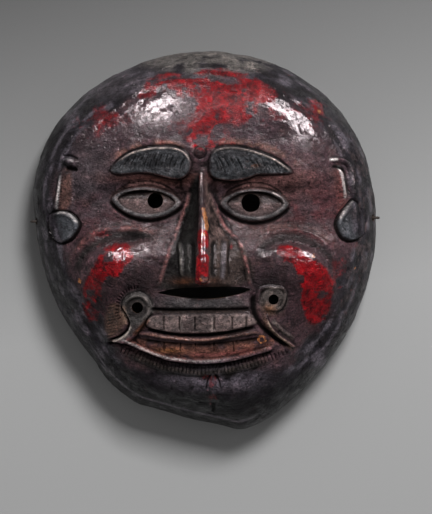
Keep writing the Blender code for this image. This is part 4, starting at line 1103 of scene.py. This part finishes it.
# Red: what is left of the last coat, on the forehead, the cheeks, the ridge of the nose and the chin
red = filled(((-43.8, 95), (-35.8, 104.7), (-25.9, 111.3), (-12.6, 108.7), (-2.7, 112.6), (11.9, 114),
              (23.8, 111.3), (35.7, 107.3), (47, 98), (42.4, 92), (23.8, 93), (0.6, 96), (-9.3, 96),
              (-25.9, 96)), 9.0)
red += filled(((-5.4, 99), (13.9, 98), (27.1, 97), (33.1, 86), (31.8, 79.5), (21.2, 76.9), (11.9, 78.2),
               (6.6, 74), (1.3, 64), (-9.3, 64), (-8, 74.2), (-4, 82.2)), 9.0)
red += filled(((-69.7, -12), (-65.7, -6.7), (-58.5, -2.8), (-50, -4), (-46, -12), (-51.3, -16.6),
               (-55, -22.5), (-60.5, -27), (-66.4, -28.4), (-68.4, -39.6), (-70.3, -51.4), (-77.6, -54),
               (-81, -43), (-80.2, -31), (-75, -20.5)), 5.0) * (1.0 - spot((-75, -46), (12, 14), 0.55))
red += filled(((50, -4), (58, -4), (65, -8), (75, -14.6), (81.5, -21), (84.8, -33), (83.5, -43),
               (79.6, -52.7), (71, -55.4), (66.4, -47.5), (63.8, -38.3), (63, -29.7), (59, -21),
               (53.3, -14.6), (47.4, -9.3)), 5.0)
red *= 1.0 - spot((0, 106), (40, 7), 0.9) * smooth((streaks - 0.45) / 0.2)
red += filled(((-3.4, 6), (-4.4, -6), (-5.0, -20), (-5.6, -28), (2.4, -28.4), (3.2, -18), (3.1, -6),
               (2.4, 6)), 1.6)
red += spot((18, -5), (1.6, 3), 0.8) + spot((4, -98), (9, 13), 0.32) + spot((-66, 80), (18, 10), 0.5)
red += spot((56, 84), (22, 12), 0.45) + spot((2, 68), (24, 12), 0.5) + spot((88, -24), (7, 30), 0.26)
red += spot((96, -22), (6, 16), 0.2) + spot((77, 88), (7, 9), 0.4) + spot((-72, 3), (12, 6), 0.42)
zone("red", red * (1.0 - 0.8 * smooth((middling - 0.62) / 0.2)))

# Bare: spots chipped or rubbed through to orange wood
bare = lined(((-1.2, 22), (0.6, 16), (1.8, 8), (0.6, 6)), 2.6, 0.1) + spot((-0.6, 3.6), (2.2, 1.6), 1.0)
bare += hump((away_from(x, y, (38.2, -65.7)) - 2.3) / 1.8) * 0.7
for place, size in (((71.9, -10.6), 2.4), ((-82.8, -27.3), 2.4), ((77, 86), 2.4), ((-2, -26), 1.8),
                    ((101, -19), 1.4)):
    bare += spot(place, (size * 0.62, size * 0.62), 1.0)
zone("bare", bare)

ridges_fine = proud(6)
ridges_broad = proud(50)
zone("crest", smooth(ridges_fine / 0.16))
# Painted shade: this share darkens every hollow and crease to near black in the front's shader.
zone("crevice_shade", smooth(-ridges_fine / 0.22) * 0.6 + smooth(-ridges_broad / 1.0) * 0.55)
gloss = spot((-38, 89), (42, 12), 1.15) + spot((60, 84), (32, 20), 1.1) + spot((-56, -6), (28, 9), 1.1)
gloss += spot((-70, 80), (14, 14), 0.6) + spot((60, -6), (28, 10), 1.1) + spot((-0.5, -11), (6, 26), 1.35)
gloss = (gloss + 0.1) * (1.0 - spot((6, 84), (26, 24), 0.95)) - 0.1
for arc in (LEFT_ARC[1:], RIGHT_ARC[1:-1]):
    gloss = (gloss + 0.1) * (1.0 - lined(arc, 8.0, 0.05)) - 0.1
zone("gloss", 0.10 + 0.9 * gloss)


# Lacquered front: worn paint over lacquer and wood, painted shade in its hollows, crinkled with age and still
# shiny on its high places.

def attribute(tree, name, output="Fac"):
    """Reads one of the mask's zones, or its paint."""
    node = tree.nodes.new("ShaderNodeAttribute")
    node.attribute_name = name
    return node.outputs[output]


def noise(tree, scale, detail=4.0, roughness=0.6, stretch=None, distortion=0.0):
    """Noise over the piece's own coordinates."""
    place = tree.nodes.new("ShaderNodeTexCoord").outputs["Object"]
    if stretch is not None:
        mapping = tree.nodes.new("ShaderNodeMapping")
        mapping.inputs["Scale"].default_value = stretch
        tree.links.new(place, mapping.inputs["Vector"])
        place = mapping.outputs["Vector"]
    node = tree.nodes.new("ShaderNodeTexNoise")
    node.inputs["Scale"].default_value = scale
    node.inputs["Detail"].default_value = detail
    node.inputs["Roughness"].default_value = roughness
    node.inputs["Distortion"].default_value = distortion
    tree.links.new(place, node.inputs["Vector"])
    return node.outputs["Fac"]


def joined(tree, operation, first, second):
    """One sum or product of two values, the second of which may be a plain number."""
    node = tree.nodes.new("ShaderNodeMath")
    node.operation = operation
    tree.links.new(first, node.inputs[0])
    if isinstance(second, float):
        node.inputs[1].default_value = second
    else:
        tree.links.new(second, node.inputs[1])
    return node.outputs["Value"]


def layered(tree, under, over, share, blend="MIX"):
    """A colour laid over another by a share. A colour is a socket or a plain value."""
    node = tree.nodes.new("ShaderNodeMix")
    node.data_type = "RGBA"
    node.blend_type = blend
    colours = [socket for socket in node.inputs if socket.type == "RGBA"]
    for socket, value in zip(colours, (under, over)):
        if isinstance(value, bpy.types.NodeSocket):
            tree.links.new(value, socket)
        else:
            socket.default_value = (*value, 1.0)
    if isinstance(share, float):
        node.inputs["Factor"].default_value = share
    else:
        tree.links.new(share, node.inputs["Factor"])
    return [socket for socket in node.outputs if socket.type == "RGBA"][0]


def bumped(tree, height, depth, strength, socket):
    """Lets a height roughen the surface, through one of its shader's normals."""
    bump = tree.nodes.new("ShaderNodeBump")
    bump.inputs["Strength"].default_value = strength
    bump.inputs["Distance"].default_value = depth
    tree.links.new(height, bump.inputs["Height"])
    tree.links.new(bump.outputs["Normal"], socket)


tree, shader = nodes_of(front_finish)
crevice_shade = attribute(tree, "crevice_shade")
colour = attribute(tree, "paint", "Color")
wood_grain = noise(tree, 120.0, 6.0, 0.7, stretch=(0.35, 1.0, 1.0), distortion=0.4)
colour = layered(tree, colour, tone(20, 16, 18), ranged(tree, wood_grain, 0.47, 0.68, 0.0, 0.8))
flecks = noise(tree, 700.0, 3.0, 0.7, stretch=(0.8, 0.8, 1.0), distortion=1.6)
colour = layered(tree, colour, (2.5, 2.3, 2.4), ranged(tree, flecks, 0.54, 0.62, 0.0, 0.6), "MULTIPLY")
red_share = joined(tree, "MULTIPLY", attribute(tree, "red"), 1.6)
red_share = joined(tree, "ADD", red_share, ranged(tree, noise(tree, 95.0, 8.0, 0.72), 0.3, 0.7, -0.8, 0.3))
red_coat = layered(tree, tone(148, 13, 22), tone(52, 8, 14),
                   ranged(tree, noise(tree, 130.0, 6.0, 0.7), 0.42, 0.66))
colour = layered(tree, colour, red_coat, ranged(tree, red_share, 0.15, 0.85))
cracks = noise(tree, 420.0, 5.0, 0.75, stretch=(0.7, 0.9, 1.0), distortion=1.8)
colour = layered(tree, colour, tone(10, 6, 8), ranged(tree, cracks, 0.51, 0.58, 0.0, 0.65))
# Painted shade in the hollows and creases.
colour = layered(tree, colour, tone(9, 7, 7), ranged(tree, crevice_shade, 0.15, 1.0, 0.0, 0.92))
rubbed = joined(tree, "MULTIPLY", attribute(tree, "crest"),
                ranged(tree, noise(tree, 190.0), 0.46, 0.60, 0.0, 0.6))
colour = layered(tree, colour, (2.8, 2.6, 2.5), rubbed, "MULTIPLY")
bare_share = joined(tree, "ADD", attribute(tree, "bare"),
                    ranged(tree, noise(tree, 420.0, 4.0), 0.3, 0.7, -0.4, 0.3))
wood = layered(tree, tone(214, 142, 92), tone(110, 56, 30), ranged(tree, noise(tree, 520.0, 4.0), 0.4, 0.65))
colour = layered(tree, colour, wood, ranged(tree, bare_share, 0.35, 0.6))
tree.links.new(colour, shader.inputs["Base Color"])
shader.inputs["Specular IOR Level"].default_value = 0.12
matt = joined(tree, "ADD", ranged(tree, noise(tree, 130.0), 0.3, 0.7, 0.38, 0.58),
              ranged(tree, crevice_shade, 0.0, 1.0, 0.0, 0.3))
tree.links.new(matt, shader.inputs["Roughness"])
gloss = attribute(tree, "gloss")
shine = joined(tree, "MULTIPLY", ranged(tree, gloss, 0.0, 0.8, 0.0, 1.0),
               ranged(tree, noise(tree, 400.0, 6.0, 0.7), 0.37, 0.55, 0.1, 1.0))
sheen = joined(tree, "MULTIPLY", ranged(tree, gloss, 0.0, 0.08),
               ranged(tree, noise(tree, 110.0, 4.0), 0.44, 0.60, 0.0, 0.35))
tree.links.new(joined(tree, "MAXIMUM", shine, sheen), shader.inputs["Coat Weight"])
shader.inputs["Coat Roughness"].default_value = 0.11
shader.inputs["Coat IOR"].default_value = 1.7
crinkle = joined(tree, "ADD", noise(tree, 200.0, 6.0, 0.65, stretch=(0.6, 1.0, 1.0), distortion=0.8),
                 joined(tree, "MULTIPLY", noise(tree, 620.0, 4.0, 0.65, distortion=0.5), 0.55))
calm = joined(tree, "MULTIPLY", crinkle, ranged(tree, gloss, 0.1, 0.7, 1.0, 0.28))
for socket, height, depth in (("Normal", crinkle, 0.0021), ("Coat Normal", calm, 0.0008)):
    bumped(tree, height, depth, 0.9, shader.inputs[socket])


# Bare back: old dry wood, brown with age, with its grain along the height of the mask.

tree, shader = nodes_of(back_finish)
grain = noise(tree, 160.0, 6.0, 0.65, stretch=(1.0, 0.07, 1.0))
colour = layered(tree, tone(66, 46, 34), tone(112, 84, 62), ranged(tree, grain, 0.35, 0.65))
colour = layered(tree, colour, tone(34, 26, 22), ranged(tree, noise(tree, 24.0), 0.5, 0.72, 0.0, 0.8))
tree.links.new(colour, shader.inputs["Base Color"])
tree.links.new(ranged(tree, grain, 0.3, 0.7, 0.62, 0.85), shader.inputs["Roughness"])
bumped(tree, grain, 0.0005, 0.5, shader.inputs["Normal"])

mask.data.shade_smooth()
mask.data.set_sharp_from_angle(angle=math.radians(62.0))
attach(mask, "root")
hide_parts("mask")


# Ties: stubs of dry leather thong, knotted inside the shell.

thong_finish = bpy.data.materials.new("dry thong")
tree, shader = nodes_of(thong_finish)
fibre = noise(tree, 900.0, 4.0, 0.6)
tree.links.new(layered(tree, tone(40, 34, 31), tone(82, 72, 64), ranged(tree, fibre, 0.35, 0.7)),
               shader.inputs["Base Color"])
shader.inputs["Roughness"].default_value = 0.75
for node in ("tie_left", "tie_right"):
    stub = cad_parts[node]
    stub.data.materials.clear()
    stub.data.materials.append(thong_finish)
